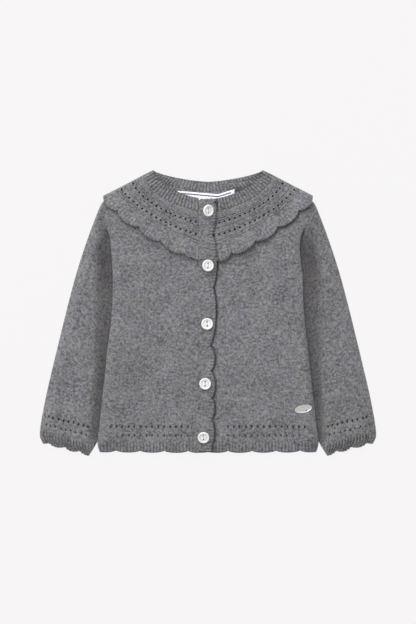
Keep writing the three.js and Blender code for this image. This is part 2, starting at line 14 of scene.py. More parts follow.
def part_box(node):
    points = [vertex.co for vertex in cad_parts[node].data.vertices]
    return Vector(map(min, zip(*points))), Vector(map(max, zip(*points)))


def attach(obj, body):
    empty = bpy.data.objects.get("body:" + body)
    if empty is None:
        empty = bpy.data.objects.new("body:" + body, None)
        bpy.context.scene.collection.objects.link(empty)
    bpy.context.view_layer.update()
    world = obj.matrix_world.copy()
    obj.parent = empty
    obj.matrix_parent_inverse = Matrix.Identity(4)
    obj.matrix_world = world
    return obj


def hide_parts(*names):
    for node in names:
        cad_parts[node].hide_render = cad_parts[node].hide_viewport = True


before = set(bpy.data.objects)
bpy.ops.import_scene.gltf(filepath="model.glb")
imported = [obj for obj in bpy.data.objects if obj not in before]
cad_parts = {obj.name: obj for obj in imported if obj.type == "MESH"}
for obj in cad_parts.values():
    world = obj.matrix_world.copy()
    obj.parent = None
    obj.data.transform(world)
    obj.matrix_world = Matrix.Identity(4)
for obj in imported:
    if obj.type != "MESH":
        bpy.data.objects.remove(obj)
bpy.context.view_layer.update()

bl_info = {
    "name": "Baby Cardigan",
    "version": (1, 0, 0),
    "blender": (4, 5, 0),
    "location": "View3D > Sidebar > Cardigan",
    "description": "Knitted baby cardigan laid flat, with a scalloped frill collar and a buttoned band",
    "category": "Object",
}

MM = 0.001

# Cloth, gaps and ribs; painted shade is a share of darkening painted into the wool's colour, below 0 a
# painted highlight on a lit crest
WALL = 1.8
KNIT_WALL = 1.65
LAYER = 2.1
RIB_PITCH = 3.3
RIB_HEIGHT = 0.95
RIB_PAINTED_SHADE = 0.46
RIB_FADE = 0.15
MOST_PAINTED_SHADE = 0.9
MOST_PAINTED_HIGHLIGHT = -0.4

# Rows of faces across and along each sheet of cloth
PANEL_GRID = (124, 218)
BACK_GRID = (236, 120)
SLEEVE_GRID = (132, 206)
COLLAR_GRID = (500, 92)
NECKBAND_GRID = (560, 14)
BAND_GRID = (20, 316)
UNDER_BAND_GRID = (12, 180)
LABEL_GRID = (92, 12)

# Body outline, one side: height from the hem up, and half width there
SIDE = [
    (-137, 108.4), (-133, 109.9), (-127, 110.7), (-112, 108.9), (-95, 107.1), (-78, 105.3),
    (-58, 102.9), (-34, 100.5), (-10, 97.4), (14, 95.6), (43, 95.6), (60, 96.6),
    (77, 98.4), (86, 101.6), (95, 104.4), (111, 104.0),
]
RIGHT_TUCK = [(20, 0), (40, 0.6), (61, 4.4), (76, 5.4), (87, 4.6), (103, 1.0), (111, 0)]
SHOULDER_TIP = Vector((104.0, 111.0))
SHOULDER_NECK = Vector((64.2, 133.2))
SHOULDER_SHARE = 0.5
NECK_START = 0.07
YOKE_Y = 60
YOKE_SHARE = 0.71

# Hem
HEM_Y = -137
HEM_RIB_TOP = -127
HEM_SCALLOP = {"first": 20, "pitch": 24, "depth": 2.3, "bow": 0.9, "bow_middle": 0.4}
HEM_ROUND = (1.5, 0.6)
# Rows of eyelets above the hem; the last number of each row is how dark the ring round each hole is painted,
# as shade
HEM_EYELETS = [
    {"y": -113.0, "first": 97.3, "pitch": 5.95, "count": 14, "radius": 0.85, "hollow": 0.34},
    {"y": -121.8, "first": 91.0, "pitch": 5.9, "count": 13, "radius": 0.65, "hollow": 0.2},
]
EYELET_DIP = 0.35

# Sleeve outline from the cuff up: outer edge, and inner edge that is tucked under the body
SLEEVE_OUTER = [
    (165.6, -130.5), (168.5, -119), (163.0, -86), (155.7, -54), (148.0, -22),
    (140.1, 10), (131.4, 42), (121.0, 74), (108.0, 108), (102.6, 113.5),
]
SLEEVE_INNER = [
    (119.5, -142.8), (110.6, -127), (104.0, -106), (98.0, -81),
    (90.0, -46), (82.0, -6), (76.0, 29), (74.0, 52),
]
SLEEVE_END = (107.6, 111)
SLEEVE_LOW_TOP = 3.9
SLEEVE_LOFT = 4.6
SLEEVE_SLOPE = {"outer": 12, "sewn_outer": 3, "cuff": 14}
SLEEVE_TOP_SHARE = 0.66

# Where a sleeve is sewn in flush with the front: height in plan, its slope there and how high it comes
SEWN = {"y": (64, 92), "start": -3.4, "end": -0.9, "height": 0.92}

# Valleys beside the body, wearer's right and left: y, where the painted shade is full, where the slope and
# the painted shade end, how dark the painted shade is
VALLEYS = {
    -1: [(-118, 0, 11, 0.53), (-58, 1, 15, 0.58), (12, 7, 23, 0.46), (62, 10, 18, 0.56), (92, 4, 13, 0.2)],
    1: [(-118, 0, 11, 0.53), (-58, 6, 14, 0.52), (12, 8, 25, 0.49), (62, 11, 22, 0.6), (92, 4, 13, 0.2)],
}
# Painted valley shade: its share at the body's edge, where the sleeve's slope starts, where the painted shade
# fades in from the cuff, and how far out the share at the edge reaches
VALLEY_BESIDE = {-1: 1.0, 1: 0.68}
VALLEY_START = 3
VALLEY_CUFF = (4, 24)
BESIDE_REACH = 4

# Folds of a sleeve: width in plan, and length of the cloth in it
OUTER_FOLD = {"width": 4.5, "cloth": 6.2}
INNER_FOLD = {"width": 1.95, "cloth": 3.2}
# Cuff: rib zone, notches, scallop depth and shortening, how dark its rib grooves are painted as shade, and
# rib pitch
CUFF = {
    "rib": 13, "notches": [-0.14, 0.13, 0.47, 0.79, 1.13],
    "depth": 2.5, "short": 0.8, "hollow": 0.62, "pitch": 3.1,
}
# Rows of eyelets in the cuff; the last number of each row is how dark the ring round each hole is painted, as
# shade
CUFF_EYELETS = [
    {"start": (164.4, -101.5), "end": (119.4, -112.4), "count": 10, "radius": 0.9, "hollow": 0.42},
    {"start": (162.1, -110.5), "end": (121.6, -120.5), "count": 9, "radius": 0.7, "hollow": 0.25},
]

# Neck and collar, one side, from the fold at the side of the neck to the middle
NECK_EDGE = {"a": 54.5, "top": 143.9, "front": (29.4, 1.62), "back": (11.5, 1.42)}
NECK_SEAM = {"a": 64.0, "top": 139.5, "front": (37, 1.7), "back": (17, 1.5)}
COLLAR_EDGE = {"a": 103.6, "top": 118.5, "front": (66, 1.22), "back": (45.5, 1.4)}
SEAM_STEP = 0.05
PANEL_SEAM_STEP = 0.9
BACK_SEAM_STEP = 0.1
# Neckband: its shade numbers are painted: shade in the rib grooves with more on the back, a painted shadow on
# the back towards the side folds, and a painted dark line along the front's inner edge
NECKBAND = {
    "wall": 1.6, "low": 0.6, "sink": 0.2, "width": 11, "pitch": 3.22, "height": 1.1, "hollow": 0.4,
    "back": 0.25, "back_painted_shade": 1.3, "back_fade": (1.0, 0.86), "corner": 0.35, "corner_x": (26, 50),
    "edge": 0.4, "edge_v": (0.85, 1.0), "edge_f": (0.65, 0.45),
}
COLLAR_REST = 0.95
COLLAR_LIFT = 1.6
EYELET_FIRST = 0.6
EYELET_SHARE = 0.93
COLLAR_WIDTH = 47
COLLAR_SCALLOP = {"front": 20.3, "back": 10.4, "pitch": 26.4, "depth": 4.9}
COLLAR_RIDGES = [(7, 12.5), (15.5, 19), (20.5, 23.5), (27.5, 32)]
# Ridge and frill ribs: pitch, height, how dark their grooves are painted as shade with a painted highlight on
# crests, and the share of that painted shade between the ridges
COLLAR_RIDGE = {"pitch": 2.35, "height": 0.7, "hollow": 0.4, "between": 0.15}
COLLAR_FRILL = {"width": 9, "pitch": 2.8, "height": 0.6, "hollow": 0.17}
# Rows of eyelets in the collar; the last number of each row is how dark the ring round each hole is painted,
# as shade
COLLAR_EYELETS = [
    {"side": 0.30, "middle": 0.255, "pitch": 5.3, "radius": 1.05, "hollow": 0.5},
    {"side": 0.575, "middle": 0.495, "pitch": 5.3, "radius": 1.05, "hollow": 0.5},
]
# Painted shadow beside the collar's free edge: how far it reaches, where it is full, and how dark on the left
# and right halves
COLLAR_SHADE = {"reach": 4.5, "full": 0.5, "left": 0.08, "right": 0.36}
COLLAR_SEAM = {"dip": 0.75, "reach": 3}
BAND_SCALLOP = {"reach": (14, 4), "less": 0.55}

# Where the side folds and the middle of the back fall, as shares along the strip
COLLAR_SHARES = (0.36, 0.5, 0.64)
NECKBAND_SHARES = (0.27, 0.5, 0.73)
COLLAR_ROUND = (1.4, 0.7)
COLLAR_DIP = {"left": 0.6, "right": 0.95}
BACK_SCALLOPS = 4
# Painted shade on the back beside the front neckband, right of the tape: x span, y span, softness and how
# dark
NECK_SHADE = {"x": (27, 53), "y": (112, 117), "soft": 2, "hollow": 0.5}
EDGE_STEPS = 300
FOLD_RADIUS = 4.2
FOLD_SPREAD = 0.3
LEFT_END = 9.45
RIGHT_END = 7.8
COLLAR_RIGHT_END = 3.2

# Front bands
BAND_LEFT_EDGE = -9.4
BAND_TOP = 115
BAND_NOTCHES = [
    (115, 6.8, 2.6), (79, 3.9, 4.7), (26, 4.2, 4.9), (-32, 1.4, 5.0), (-57, 1.9, 4.6),
    (-84, 2.8, 3.8), (-105, 2.8, 3.4), (-132, 2.8, 1.3), (-138, 1.8, 0),
]
# Ribbed edging of the top band: width, pitch, height, how dark its grooves are painted as shade, and the
# depth and width of a real groove
BAND_EDGING = {"width": 5.5, "pitch": 3.1, "height": 0.7, "hollow": 0.32, "groove": 0.25, "groove_width": 0.6}
BAND_ROUND = (1.6, 0.8)
BAND_RISE = {"y": (36, 60), "height": 1.9, "beside_y": (46, 52), "beside": 2, "slope": 3.5}
BAND_END = {"middle": -1, "half": 7, "round": 3}
# Painted shadow beside the top band's edge: how far it reaches, where it is full, where it starts at the
# edge, how dark; COLLAR_BAND_SHADE is its share on the collar and neckband
BAND_SHADE = {"reach": 3.3, "full": 1.0, "edge": (-0.8, 0.4), "hollow": 0.78}
COLLAR_BAND_SHADE = 0.6
# Painted shade along the side edge of the wearer's left front: y span, softness, reach and how dark
SIDE_SHADE = {"y": (-95, -20), "soft": 20, "reach": 8, "hollow": 0.28}
UNDER_BAND = {"left": -6.5, "right": 7.8, "top": 113}

# Height of the hollow between back and front, and of the padded side seam
LOFT = {"side": 1.3, "under_band": 0.9, "over_band": 3.0, "start": 45, "end": 10, "slope": 12}
SIDE_SEAM = {"lift": 1.4, "from": (1.0, 12.0), "soft": 5.0, "round": (2.6, 0.6), "round_free": 1.8}

# How the back lies over the tucked sleeves and over the collar: where each slope starts and ends
BACK_SLOPE = {"sleeve": (7, 33), "collar": (-30, -12), "hem": -124, "at_hem": 0.08}

# Soft creases, given one by one: start and end in plan, depth and half width
CREASES = [
    ((-92, 46), (-58, 30), 0.5, 5.0), ((-95, 62), (-66, 57), 0.6, 4.0),
    ((-88, -28), (-52, -22), 0.35, 7.0), ((93, 52), (60, 38), 0.55, 5.0),
    ((96, 66), (70, 60), 0.5, 4.5), ((90, -46), (48, -37), 0.3, 8.0),
    ((-60, -84), (-22, -92), 0.3, 7.5), ((66, -72), (30, -80), 0.35, 7.0),
    ((-138, -30), (-112, -22), 0.6, 5.0), ((-128, 26), (-106, 18), 0.7, 4.5),
    ((-150, -74), (-118, -66), 0.45, 6.0), ((136, -22), (108, -15), 0.6, 5.0),
    ((126, 34), (105, 25), 0.65, 4.5), ((148, -66), (120, -60), 0.4, 6.5),
]
CREASE_FADE = 0.2
CREASE_REACH = 3
CREASE_DRIFT = {"broad": 26, "fine": 7, "broad_height": 0.5, "fine_height": 0.2}

# Button, label and plate
BUTTON = {"radius": 5.9, "height": 2.2, "rim": 1.7, "lift": 0.9, "hole": 0.85, "spacing": 1.95, "bowl": 0.75}
# Ring inside each button's rim that is painted darker as shade: inner and outer radius, softness and how dark
BUTTON_RING = {"inner": 2.9, "outer": 3.9, "soft": 0.3, "hollow": 0.28}
BUTTON_LEAN = {1: (6, 32, 8), 2: (0, 16, -4), 3: (1, 4, 3), 4: (8, 0, -2), 5: (17, 0, 5)}
LEAN_LIFT = 0.05
THREAD = {"radius": 0.32, "inset": 0.3, "flatten": 0.35, "sink": 0.35}
LABEL_LINE = [(-30.5, 119.4), (10.0, 115.9), (26.5, 120.9)]
LABEL = {"width": 7.6, "thickness": 0.45, "line": 2.3, "line_width": 1.3, "middle": 28.5, "line_half": 26}
LABEL_WAVE = {"lift": 0.5, "height": 0.25, "length": 7.0, "edge": 0.15}
LABEL_BEND = {"at": 40.7, "reach": 3.0, "dip": 0.2}
PLATE = {"length": 17.5, "width": 8.0, "thickness": 1.0, "turn": 11, "rim": 0.7, "step": 0.3, "sunk": 0.18}

# Stage
FLOOR_Z = -0.0004
FLOOR_GLOW = 0.97
ROOM_STRENGTH = 0.68
LIGHT_PLACE = (-0.6, 1.15, 1.15)
CAMERA_Y = 0.002
FOCUS_Z = 0.005


# Small sums and lines
def clamp(value, low=0.0, high=1.0):
    return max(low, min(high, value))


def lerp(start, end, share):
    return start + (end - start) * share


def smooth(start, end, value):
    """0 at start and 1 at end, soft in between; start may be the larger of the two."""
    share = clamp((value - start) / (end - start))
    return share * share * (3 - 2 * share)


def lobe(place, power=0.6):
    """Round lobe between two notches: 0 at whole numbers and 1 half way; a low power makes it squarer."""
    inside = place - math.floor(place)
    return (4 * inside * (1 - inside)) ** power


def rib(place, pitch):
    """Rib profile: 1 on a crest and 0 in a groove."""
    return 0.5 + 0.5 * math.cos(2 * math.pi * place / pitch)


def window(value, start, end, soft):
    """1 between start and end, soft at both."""
    return smooth(start - soft, start + soft, value) * smooth(end + soft, end - soft, value)


class Profile:
    """Smooth line through a table whose rows are a place and the value there."""

    def __init__(self, rows):
        self.places = [row[0] for row in rows]
        self.values = [row[1] for row in rows]
        last = len(rows) - 1
        self.slopes = []
        for i in range(len(rows)):
            low, high = max(0, i - 1), min(last, i + 1)
            rise = self.values[high] - self.values[low]
            self.slopes.append(rise / (self.places[high] - self.places[low]))

    def __call__(self, place):
        if place <= self.places[0]:
            return self.values[0]
        if place >= self.places[-1]:
            return self.values[-1]
        i = bisect.bisect_right(self.places, place) - 1
        span = self.places[i + 1] - self.places[i]
        t = (place - self.places[i]) / span
        rest = 1 - t
        ends = self.values[i] * rest * rest * (1 + 2 * t) + self.values[i + 1] * t * t * (3 - 2 * t)
        return ends + span * t * rest * (self.slopes[i] * rest - self.slopes[i + 1] * t)


class Path:
    """Line in plan that is read by its share of length."""

    def __init__(self, points):
        self.points = [Vector(point) for point in points]
        self.run = [0.0]
        for start, end in zip(self.points, self.points[1:]):
            self.run.append(self.run[-1] + (end - start).length)
        self.length = self.run[-1]

    def at(self, share):
        goal = clamp(share) * self.length
        i = clamp(bisect.bisect_right(self.run, goal) - 1, 0, len(self.points) - 2)
        part = (goal - self.run[i]) / (self.run[i + 1] - self.run[i])
        return self.points[i].lerp(self.points[i + 1], part)

    def outward(self, share):
        """Square to the path, away from the neck."""
        if share < 1e-4:
            return Vector((1, 0))
        step = 0.004
        along = (self.at(share + step) - self.at(share - step)).normalized()
        return Vector((-along.y, along.x))


def spline(points, steps=24):
    """Smooth path through a few points."""
    spots = [Vector(point) for point in points]
    spots = [2 * spots[0] - spots[1], *spots, 2 * spots[-1] - spots[-2]]
    made = []
    for a, b, c, d in zip(spots, spots[1:], spots[2:], spots[3:]):
        for i in range(steps):
            t = i / steps
            made.append(0.5 * (2 * b + (c - a) * t + (2 * a - 5 * b + 4 * c - d) * t * t
                               + (3 * b - a - 3 * c + d) * t * t * t))
    return Path([*made, spots[-2]])


def rounded_v(edge, half, end=0.0, out=0.0, steps=220):
    """Path from the fold at the side of the neck to the middle; the power sets how full it is."""
    width = edge["a"] + out
    depth = edge[half][0] + out
    power = edge[half][1]
    turn = math.acos((end / width) ** (power / 2))
    points = []
    for i in range(steps + 1):
        angle = turn * i / steps
        x = width * max(0.0, math.cos(angle)) ** (2 / power)
        y = edge["top"] - depth * math.sin(angle) ** (2 / power)
        points.append((x, y))
    return Path(points)


# Heights of the layers
body_edge = Profile(SIDE)
right_tuck = Profile(RIGHT_TUCK)
sleeve_hidden = Profile([(y, x) for x, y in [*SLEEVE_INNER, SLEEVE_END]])


def shown_edge(side, y):
    """Edge of a front as it lies: the right one is drawn in under the arm."""
    return body_edge(y) - (right_tuck(y) if side > 0 else 0.0)


def tuck_width(y):
    """How far the sleeve reaches under the body."""
    return max(0.0, body_edge(y) - sleeve_hidden(y))


def back_collar_y(x):
    depth, power = COLLAR_EDGE["back"]
    inside = max(0.0, 1 - min(1.0, abs(x) / COLLAR_EDGE["a"]) ** power)
    return COLLAR_EDGE["top"] - depth * inside ** (1 / power)


def back_low(x, y):
    """Underside of the back: up over the tucked sleeves and over the back of the collar."""
    y = max(y, HEM_Y)
    inward = body_edge(y) - abs(x)
    tuck = tuck_width(y)
    hem_fade = lerp(BACK_SLOPE["at_hem"], 1, smooth(HEM_Y, BACK_SLOPE["hem"], y))
    start, end = BACK_SLOPE["sleeve"]
    over_sleeve = 2 * LAYER * (1 - smooth(tuck + start, tuck + end, inward)) * hem_fade
    over_collar = LAYER * smooth(*BACK_SLOPE["collar"], y - back_collar_y(x))
    return max(over_sleeve, over_collar)


def shoulder_distance(x, y):
    along = (SHOULDER_NECK - SHOULDER_TIP).normalized()
    return -(abs(x) - SHOULDER_TIP.x) * along.y + (y - SHOULDER_TIP.y) * along.x


def front_low(x, y):
    middle = LOFT["over_band"] if x < 0 else LOFT["under_band"]
    loft = lerp(LOFT["side"], middle, smooth(LOFT["start"], LOFT["end"], abs(x)))
    edge = min(body_edge(y) - abs(x), max(0.0, shoulder_distance(x, y)))
    return back_low(x, y) + LAYER + loft * smooth(0, LOFT["slope"], edge)


def hem_drop(x):
    scallop = HEM_SCALLOP["depth"] * lobe((abs(x) - HEM_SCALLOP["first"]) / HEM_SCALLOP["pitch"])
    middle = HEM_SCALLOP["bow_middle"]
    return scallop - HEM_SCALLOP["bow"] * (middle + (x / SHOULDER_TIP.x) ** 2) / (middle + 1)


def band_low(y):
    rise = BAND_RISE["height"] * smooth(*BAND_RISE["y"], y)
    return back_low(0, y) + 2 * LAYER + LOFT["under_band"] + rise


def crease(x, y):
    """Sum of the soft creases at a place, below 0 in a trough."""
    depth = 0.0
    place = Vector((x, y))
    for start, end, deep, half_width in CREASES:
        a = Vector(start)
        line = Vector(end) - a
        share = (place - a).dot(line) / line.length_squared
        if not -CREASE_FADE < share < 1 + CREASE_FADE:
            continue
        off = (place - a - line * share).length / half_width
        if off > CREASE_REACH:
            continue
        fade = smooth(-CREASE_FADE, 0.3, share) * smooth(1 + CREASE_FADE, 0.6, share)
        depth += deep * fade * (math.exp(-off * off) - 0.6 * math.exp(-(off - 1.5) ** 2 * 1.5))
    return -depth


def drift(x, y):
    """Small unevenness of cloth that lies by itself, the same in every layer."""
    broad = noise.noise(Vector((x / CREASE_DRIFT["broad"], y / CREASE_DRIFT["broad"], 3.1)))
    fine = noise.noise(Vector((x / CREASE_DRIFT["fine"], y / CREASE_DRIFT["fine"], 8.7)))
    return CREASE_DRIFT["broad_height"] * broad + CREASE_DRIFT["fine_height"] * fine


def lie(x, y):
    """Height that drift and creases add where the cloth lies."""
    return drift(x, y) + crease(x, y)


# Shaders
class Wire:
    """A socket's value in a shader; a sum with it adds the Math nodes."""

    def __init__(self, shader, socket):
        self.shader = shader
        self.socket = socket

    def math(self, operation, first, second=None):
        return self.shader.node("Math", {"operation": operation}, {0: first, 1: second})

    def __add__(self, other):
        return self.math("ADD", self, other)

    def __radd__(self, other):
        return self.math("ADD", other, self)

    def __sub__(self, other):
        return self.math("SUBTRACT", self, other)

    def __rsub__(self, other):
        return self.math("SUBTRACT", other, self)

    def __mul__(self, other):
        return self.math("MULTIPLY", self, other)

    def __rmul__(self, other):
        return self.math("MULTIPLY", other, self)

    def __truediv__(self, other):
        return self.math("DIVIDE", self, other)

    def part(self):
        """What is left after the whole number."""
        return self.math("FRACT", self)

    def distance(self, place):
        return self.math("ABSOLUTE", self - place)

    def sine(self):
        return self.math("SINE", self)

    def ramp(self, start, end):
        """0 below start and 1 above end, soft in between."""
        settings = {"interpolation_type": "SMOOTHSTEP"}
        return self.shader.node("MapRange", settings, {"Value": self, "From Min": start, "From Max": end})


class Shader:
    """A material and its nodes."""

    def __init__(self, name):
        self.material = bpy.data.materials.new(name)
        self.material.use_nodes = True
        self.tree = self.material.node_tree
        self.surface = self.tree.nodes["Principled BSDF"]

    def node(self, kind, settings=None, sockets=None, out=0):
        made = self.tree.nodes.new("ShaderNode" + kind)
        for key, value in (settings or {}).items():
            setattr(made, key, value)
        for key, value in (sockets or {}).items():
            if value is not None:
                self.feed(made.inputs[key], value)
        return Wire(self, made.outputs[out])

    def feed(self, socket, value):
        if isinstance(value, Wire):
            self.tree.links.new(value.socket, socket)
        else:
            socket.default_value = value

    def finish(self, **values):
        """Sets the surface's sockets, named with _ for a space."""
        for key, value in values.items():
            name = key.replace("_", " ").title().replace("Ior", "IOR")
            self.feed(self.surface.inputs[name], value)
        return self.material

    def place(self):
        return self.node("TexCoord", out="Object")

    def knit_map(self):
        return self.node("UVMap", {"uv_map": "knit"})

    def axes(self, vector):
        split = self.tree.nodes.new("ShaderNodeSeparateXYZ")
        self.feed(split.inputs[0], vector)
        return [Wire(self, output) for output in split.outputs]

    def noise(self, vector, size, detail=2.0, roughness=0.5):
        sockets = {"Vector": vector, "Scale": 1 / size, "Detail": detail, "Roughness": roughness}
        return self.node("TexNoise", {}, sockets)

    def mix(self, share, first, second):
        settings = {"data_type": "RGBA"}
        return self.node("Mix", settings, {0: share, 6: first, 7: second}, out=2)

    def bump(self, height, distance, strength):
        return self.node("Bump", {}, {"Height": height, "Distance": distance, "Strength": strength})

    def hollow(self):
        """Shade painted into the colour where a rib, a fold or a ring lies deep, as the mesh notes it; below
        0 a painted highlight.
        """
        return self.node("Attribute", {"attribute_name": "hollow"}, out="Fac")


def srgb(red, green, blue):
    """Linear colour for levels from 0 to 255."""
    levels = [level / 255 for level in (red, green, blue)]
    linear = [level / 12.92 if level < 0.04045 else ((level + 0.055) / 1.055) ** 2.4 for level in levels]
    return [*linear, 1.0]


def wool(name, settings):
    """Grey melange jersey: stitches along the cloth, specks and patches of lighter and darker fibre."""
    shader = Shader(name)
    across, along, unused = shader.axes(shader.knit_map())
    wale = (across / settings.stitch_width).part()
    lean = wale.distance(0.5) * 2
    course = (along / settings.stitch_height - lean * 0.55).part()
    leg = 1 - lean.distance(0.5) * 2
    stitch = leg.ramp(0.0, 0.9) * (0.55 + 0.45 * (course * math.pi).sine())
    hollow = shader.hollow()
    place = shader.place()
    rows = shader.node("Mapping", {}, {"Vector": shader.knit_map(), "Scale": (0.65, 1.0, 1.0)})
    fibre = shader.noise(place, 0.0007, 2.0, 0.6)
    specks = shader.noise(place, 0.0019, 1.0, 0.5)
    flecks = shader.noise(rows, 0.0026, 1.0, 0.5)
    patches = shader.noise(place, 0.016, 2.0, 0.5)
    share = 0.5
    for pattern, strength in ((specks, 1.75), (flecks, 0.9), (patches, 0.55), (fibre, 0.5)):
        share = share + (pattern - 0.5) * strength
    tint = shader.noise(place, 0.011, 2.0).ramp(0.35, 0.65)
    tinted = shader.mix(tint, (1.02, 1.015, 0.985, 1), (0.99, 0.98, 1.03, 1))
    yarn = shader.mix(share, tuple(settings.dark), tuple(settings.light))
    coloured = shader.node(
        "Mix", {"data_type": "RGBA", "blend_type": "MULTIPLY"}, {0: 1.0, 6: yarn, 7: tinted}, out=2)
    # Painted shade: the yarn darkens towards the shade colour in the gaps between stitches and by the mesh's
    # painted shade in ribs, folds, rings and beside edges; below 0 that lightens it as a painted highlight
    lit = (0.78 + 0.27 * stitch.ramp(0.0, 0.5)) * (1 - hollow)
    shaded = shader.mix(lit, tuple(settings.shade), coloured)
    height = stitch + (fibre - 0.5) * 0.7
    return shader.finish(
        base_color=shaded,
        normal=shader.bump(height, 0.0005, 0.8),
        roughness=0.95,
        sheen_weight=0.12,
        sheen_roughness=0.5,
    )


def pearl(name, settings):
    """Pale shell of the buttons, a little cloudy."""
    shader = Shader(name)
    place = shader.place()
    cloud = shader.noise(place, 0.004, 2.0)
    cloudy = shader.mix(cloud.ramp(0.3, 0.7), tuple(settings.shell_dark), tuple(settings.shell_light))
    # The ring inside the rim is painted towards the shade colour, standing in for the shade in that recess
    colour = shader.mix(shader.hollow(), cloudy, tuple(settings.shell_shade))
    scratches = shader.noise(place, 0.0004, 2.0)
    return shader.finish(
        base_color=colour,
        roughness=0.3 + (cloud - 0.5) * 0.2,
        normal=shader.bump(scratches, 0.00002, 0.4),
        coat_weight=0.4,
        coat_roughness=0.12,
    )


def thread(name, settings):
    """Sewing thread through the buttons."""
    shader = Shader(name)
    twist = shader.noise(shader.place(), 0.0003, 1.0)
    colour = shader.mix(twist.ramp(0.3, 0.7), tuple(settings.thread_shade), tuple(settings.thread))
    return shader.finish(base_color=colour, roughness=0.8, normal=shader.bump(twist, 0.0001, 0.6))


def satin(name, settings):
    """White woven tape with one plain navy line, brightened by a painted glow."""
    shader = Shader(name)
    along, across, unused = shader.axes(shader.knit_map())
    warp = ((along / 0.0006) * math.tau).sine()
    weft = ((across / 0.0004) * math.tau).sine()
    line = across.distance((LABEL["width"] - LABEL["line"]) * MM)
    on_line = 1 - line.ramp(LABEL["line_width"] * 0.35 * MM, LABEL["line_width"] * 0.6 * MM)
    ends = along.distance(LABEL["middle"] * MM)
    inside = 1 - ends.ramp((LABEL["line_half"] - 0.2) * MM, (LABEL["line_half"] + 0.2) * MM)
    weave = shader.noise(shader.place(), 0.0015, 2.0)
    white = shader.mix(weave.ramp(0.3, 0.7), tuple(settings.tape_shade), tuple(settings.tape))
    colour = shader.mix(on_line * inside, white, tuple(settings.tape_line))
    return shader.finish(
        base_color=colour,
        roughness=0.6,
        normal=shader.bump(warp + weft, 0.00005, 0.5),
        # The emission is painted light: the tape glows a little so that it stays bright in the shade inside
        # the neck
        emission_color=colour,
        emission_strength=0.2,
    )


def steel(name, settings):
    """Brushed metal of the bare plate."""
    shader = Shader(name)
    place = shader.place()
    turned = (0, 0, math.radians(-PLATE["turn"]))
    stretched = shader.node("Mapping", {}, {"Vector": place, "Rotation": turned, "Scale": (1.0, 14.0, 1.0)})
    brush = shader.noise(stretched, 0.002, 3.0, 0.6)
    wear = shader.noise(place, 0.003, 2.0)
    colour = shader.mix(wear.ramp(0.3, 0.7), tuple(settings.metal_dark), tuple(settings.metal))
    return shader.finish(
        base_color=colour,
        metallic=1.0,
        roughness=0.38 + (brush - 0.5) * 0.25,
        normal=shader.bump(brush, 0.00004, 0.5),
    )


# Cloth maker
def cloth(name, grid, place, probe, wall=KNIT_WALL, holes=(), tube=False):
    """Sheet of cloth. place(u, v) gives a point, its two knit coordinates and the shade painted there.

    The side of the cloth that is nearest to probe faces up.
    """
    mesh = bmesh.new()
    bmesh.ops.create_grid(mesh, x_segments=grid[0], y_segments=grid[1], size=0.5)
    hollow = mesh.verts.layers.float.new("hollow")
    knit = {}
    for vert in mesh.verts:
        point, stitch, depth = place(clamp(vert.co.x + 0.5), clamp(vert.co.y + 0.5))
        vert.co = Vector(point) * MM
        # depth is the shade painted at this vertex, below 0 a painted highlight
        vert[hollow] = clamp(depth, MOST_PAINTED_HIGHLIGHT, MOST_PAINTED_SHADE)
        knit[vert.index] = Vector(stitch) * MM
    layer = mesh.loops.layers.uv.new("knit")
    for face in mesh.faces:
        for loop in face.loops:
            loop[layer].uv = knit[loop.vert.index]
    if tube:
        bmesh.ops.remove_doubles(mesh, verts=mesh.verts, dist=0.02 * MM)
    cut_holes(mesh, holes, hollow)
    mesh.normal_update()
    goal = Vector(probe) * MM
    nearest = min(mesh.faces, key=lambda face: (face.calc_center_median() - goal).length_squared)
    if nearest.normal.z < 0:
        bmesh.ops.reverse_faces(mesh, faces=mesh.faces)
    area = sum(face.calc_area() for face in mesh.faces)
    piece = finished(name, mesh)
    thick = piece.modifiers.new("wall", "SOLIDIFY")
    thick.thickness = wall * MM
    thick.offset = -1
    return piece, area


def cut_holes(mesh, holes, hollow):
    """Opens a round eyelet at each place: the nearest crossing goes, its ring moves on to a circle and is
    painted darker as shade.
    """
    tree = kdtree.KDTree(len(mesh.verts))
    mesh.verts.ensure_lookup_table()
    for vert in mesh.verts:
        tree.insert(vert.co, vert.index)
    tree.balance()
    gone = []
    taken = set()
    for centre, eyelet in holes:
        spot, index, unused = tree.find(Vector(centre) * MM)
        vert = mesh.verts[index]
        ring = {other for face in vert.link_faces for other in face.verts if other is not vert}
        if len(vert.link_faces) != 4 or len(ring) != 8 or taken & ring or vert in taken:
            continue
        for other in ring:
            flat = Vector((other.co.x - spot.x, other.co.y - spot.y, 0)).normalized()
            other.co.x = spot.x + flat.x * eyelet["radius"] * MM
            other.co.y = spot.y + flat.y * eyelet["radius"] * MM
            other.co.z = max(0.0, other.co.z - EYELET_DIP * MM)
            # The ring round the hole is painted darker, standing in for the shade in it
            other[hollow] = eyelet["hollow"]
        taken |= ring
        gone.append(vert)
    bmesh.ops.delete(mesh, geom=gone, context="VERTS")


def finished(name, mesh):
    """Object from a bmesh, smooth and at the origin."""
    for face in mesh.faces:
        face.smooth = True
    data = bpy.data.meshes.new(name)
    mesh.to_mesh(data)
    mesh.free()
    piece = bpy.data.objects.new(name, data)
    bpy.context.scene.collection.objects.link(piece)
    return piece


def round_edges(piece, width, segments, angle=30):
    bevel = piece.modifiers.new("edges", "BEVEL")
    bevel.width = width * MM
    bevel.segments = segments
    bevel.limit_method = "ANGLE"
    bevel.angle_limit = math.radians(angle)


def dress(piece, node, material):
    """Puts a piece in its CAD node's place."""
    piece.data.materials.append(material)
    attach(piece, "root")
    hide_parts(node)
    return piece


def material_from(make, settings):
    """The material that a maker gives, made once and named after it."""
    return bpy.data.materials.get(make.__name__) or make(make.__name__, settings)


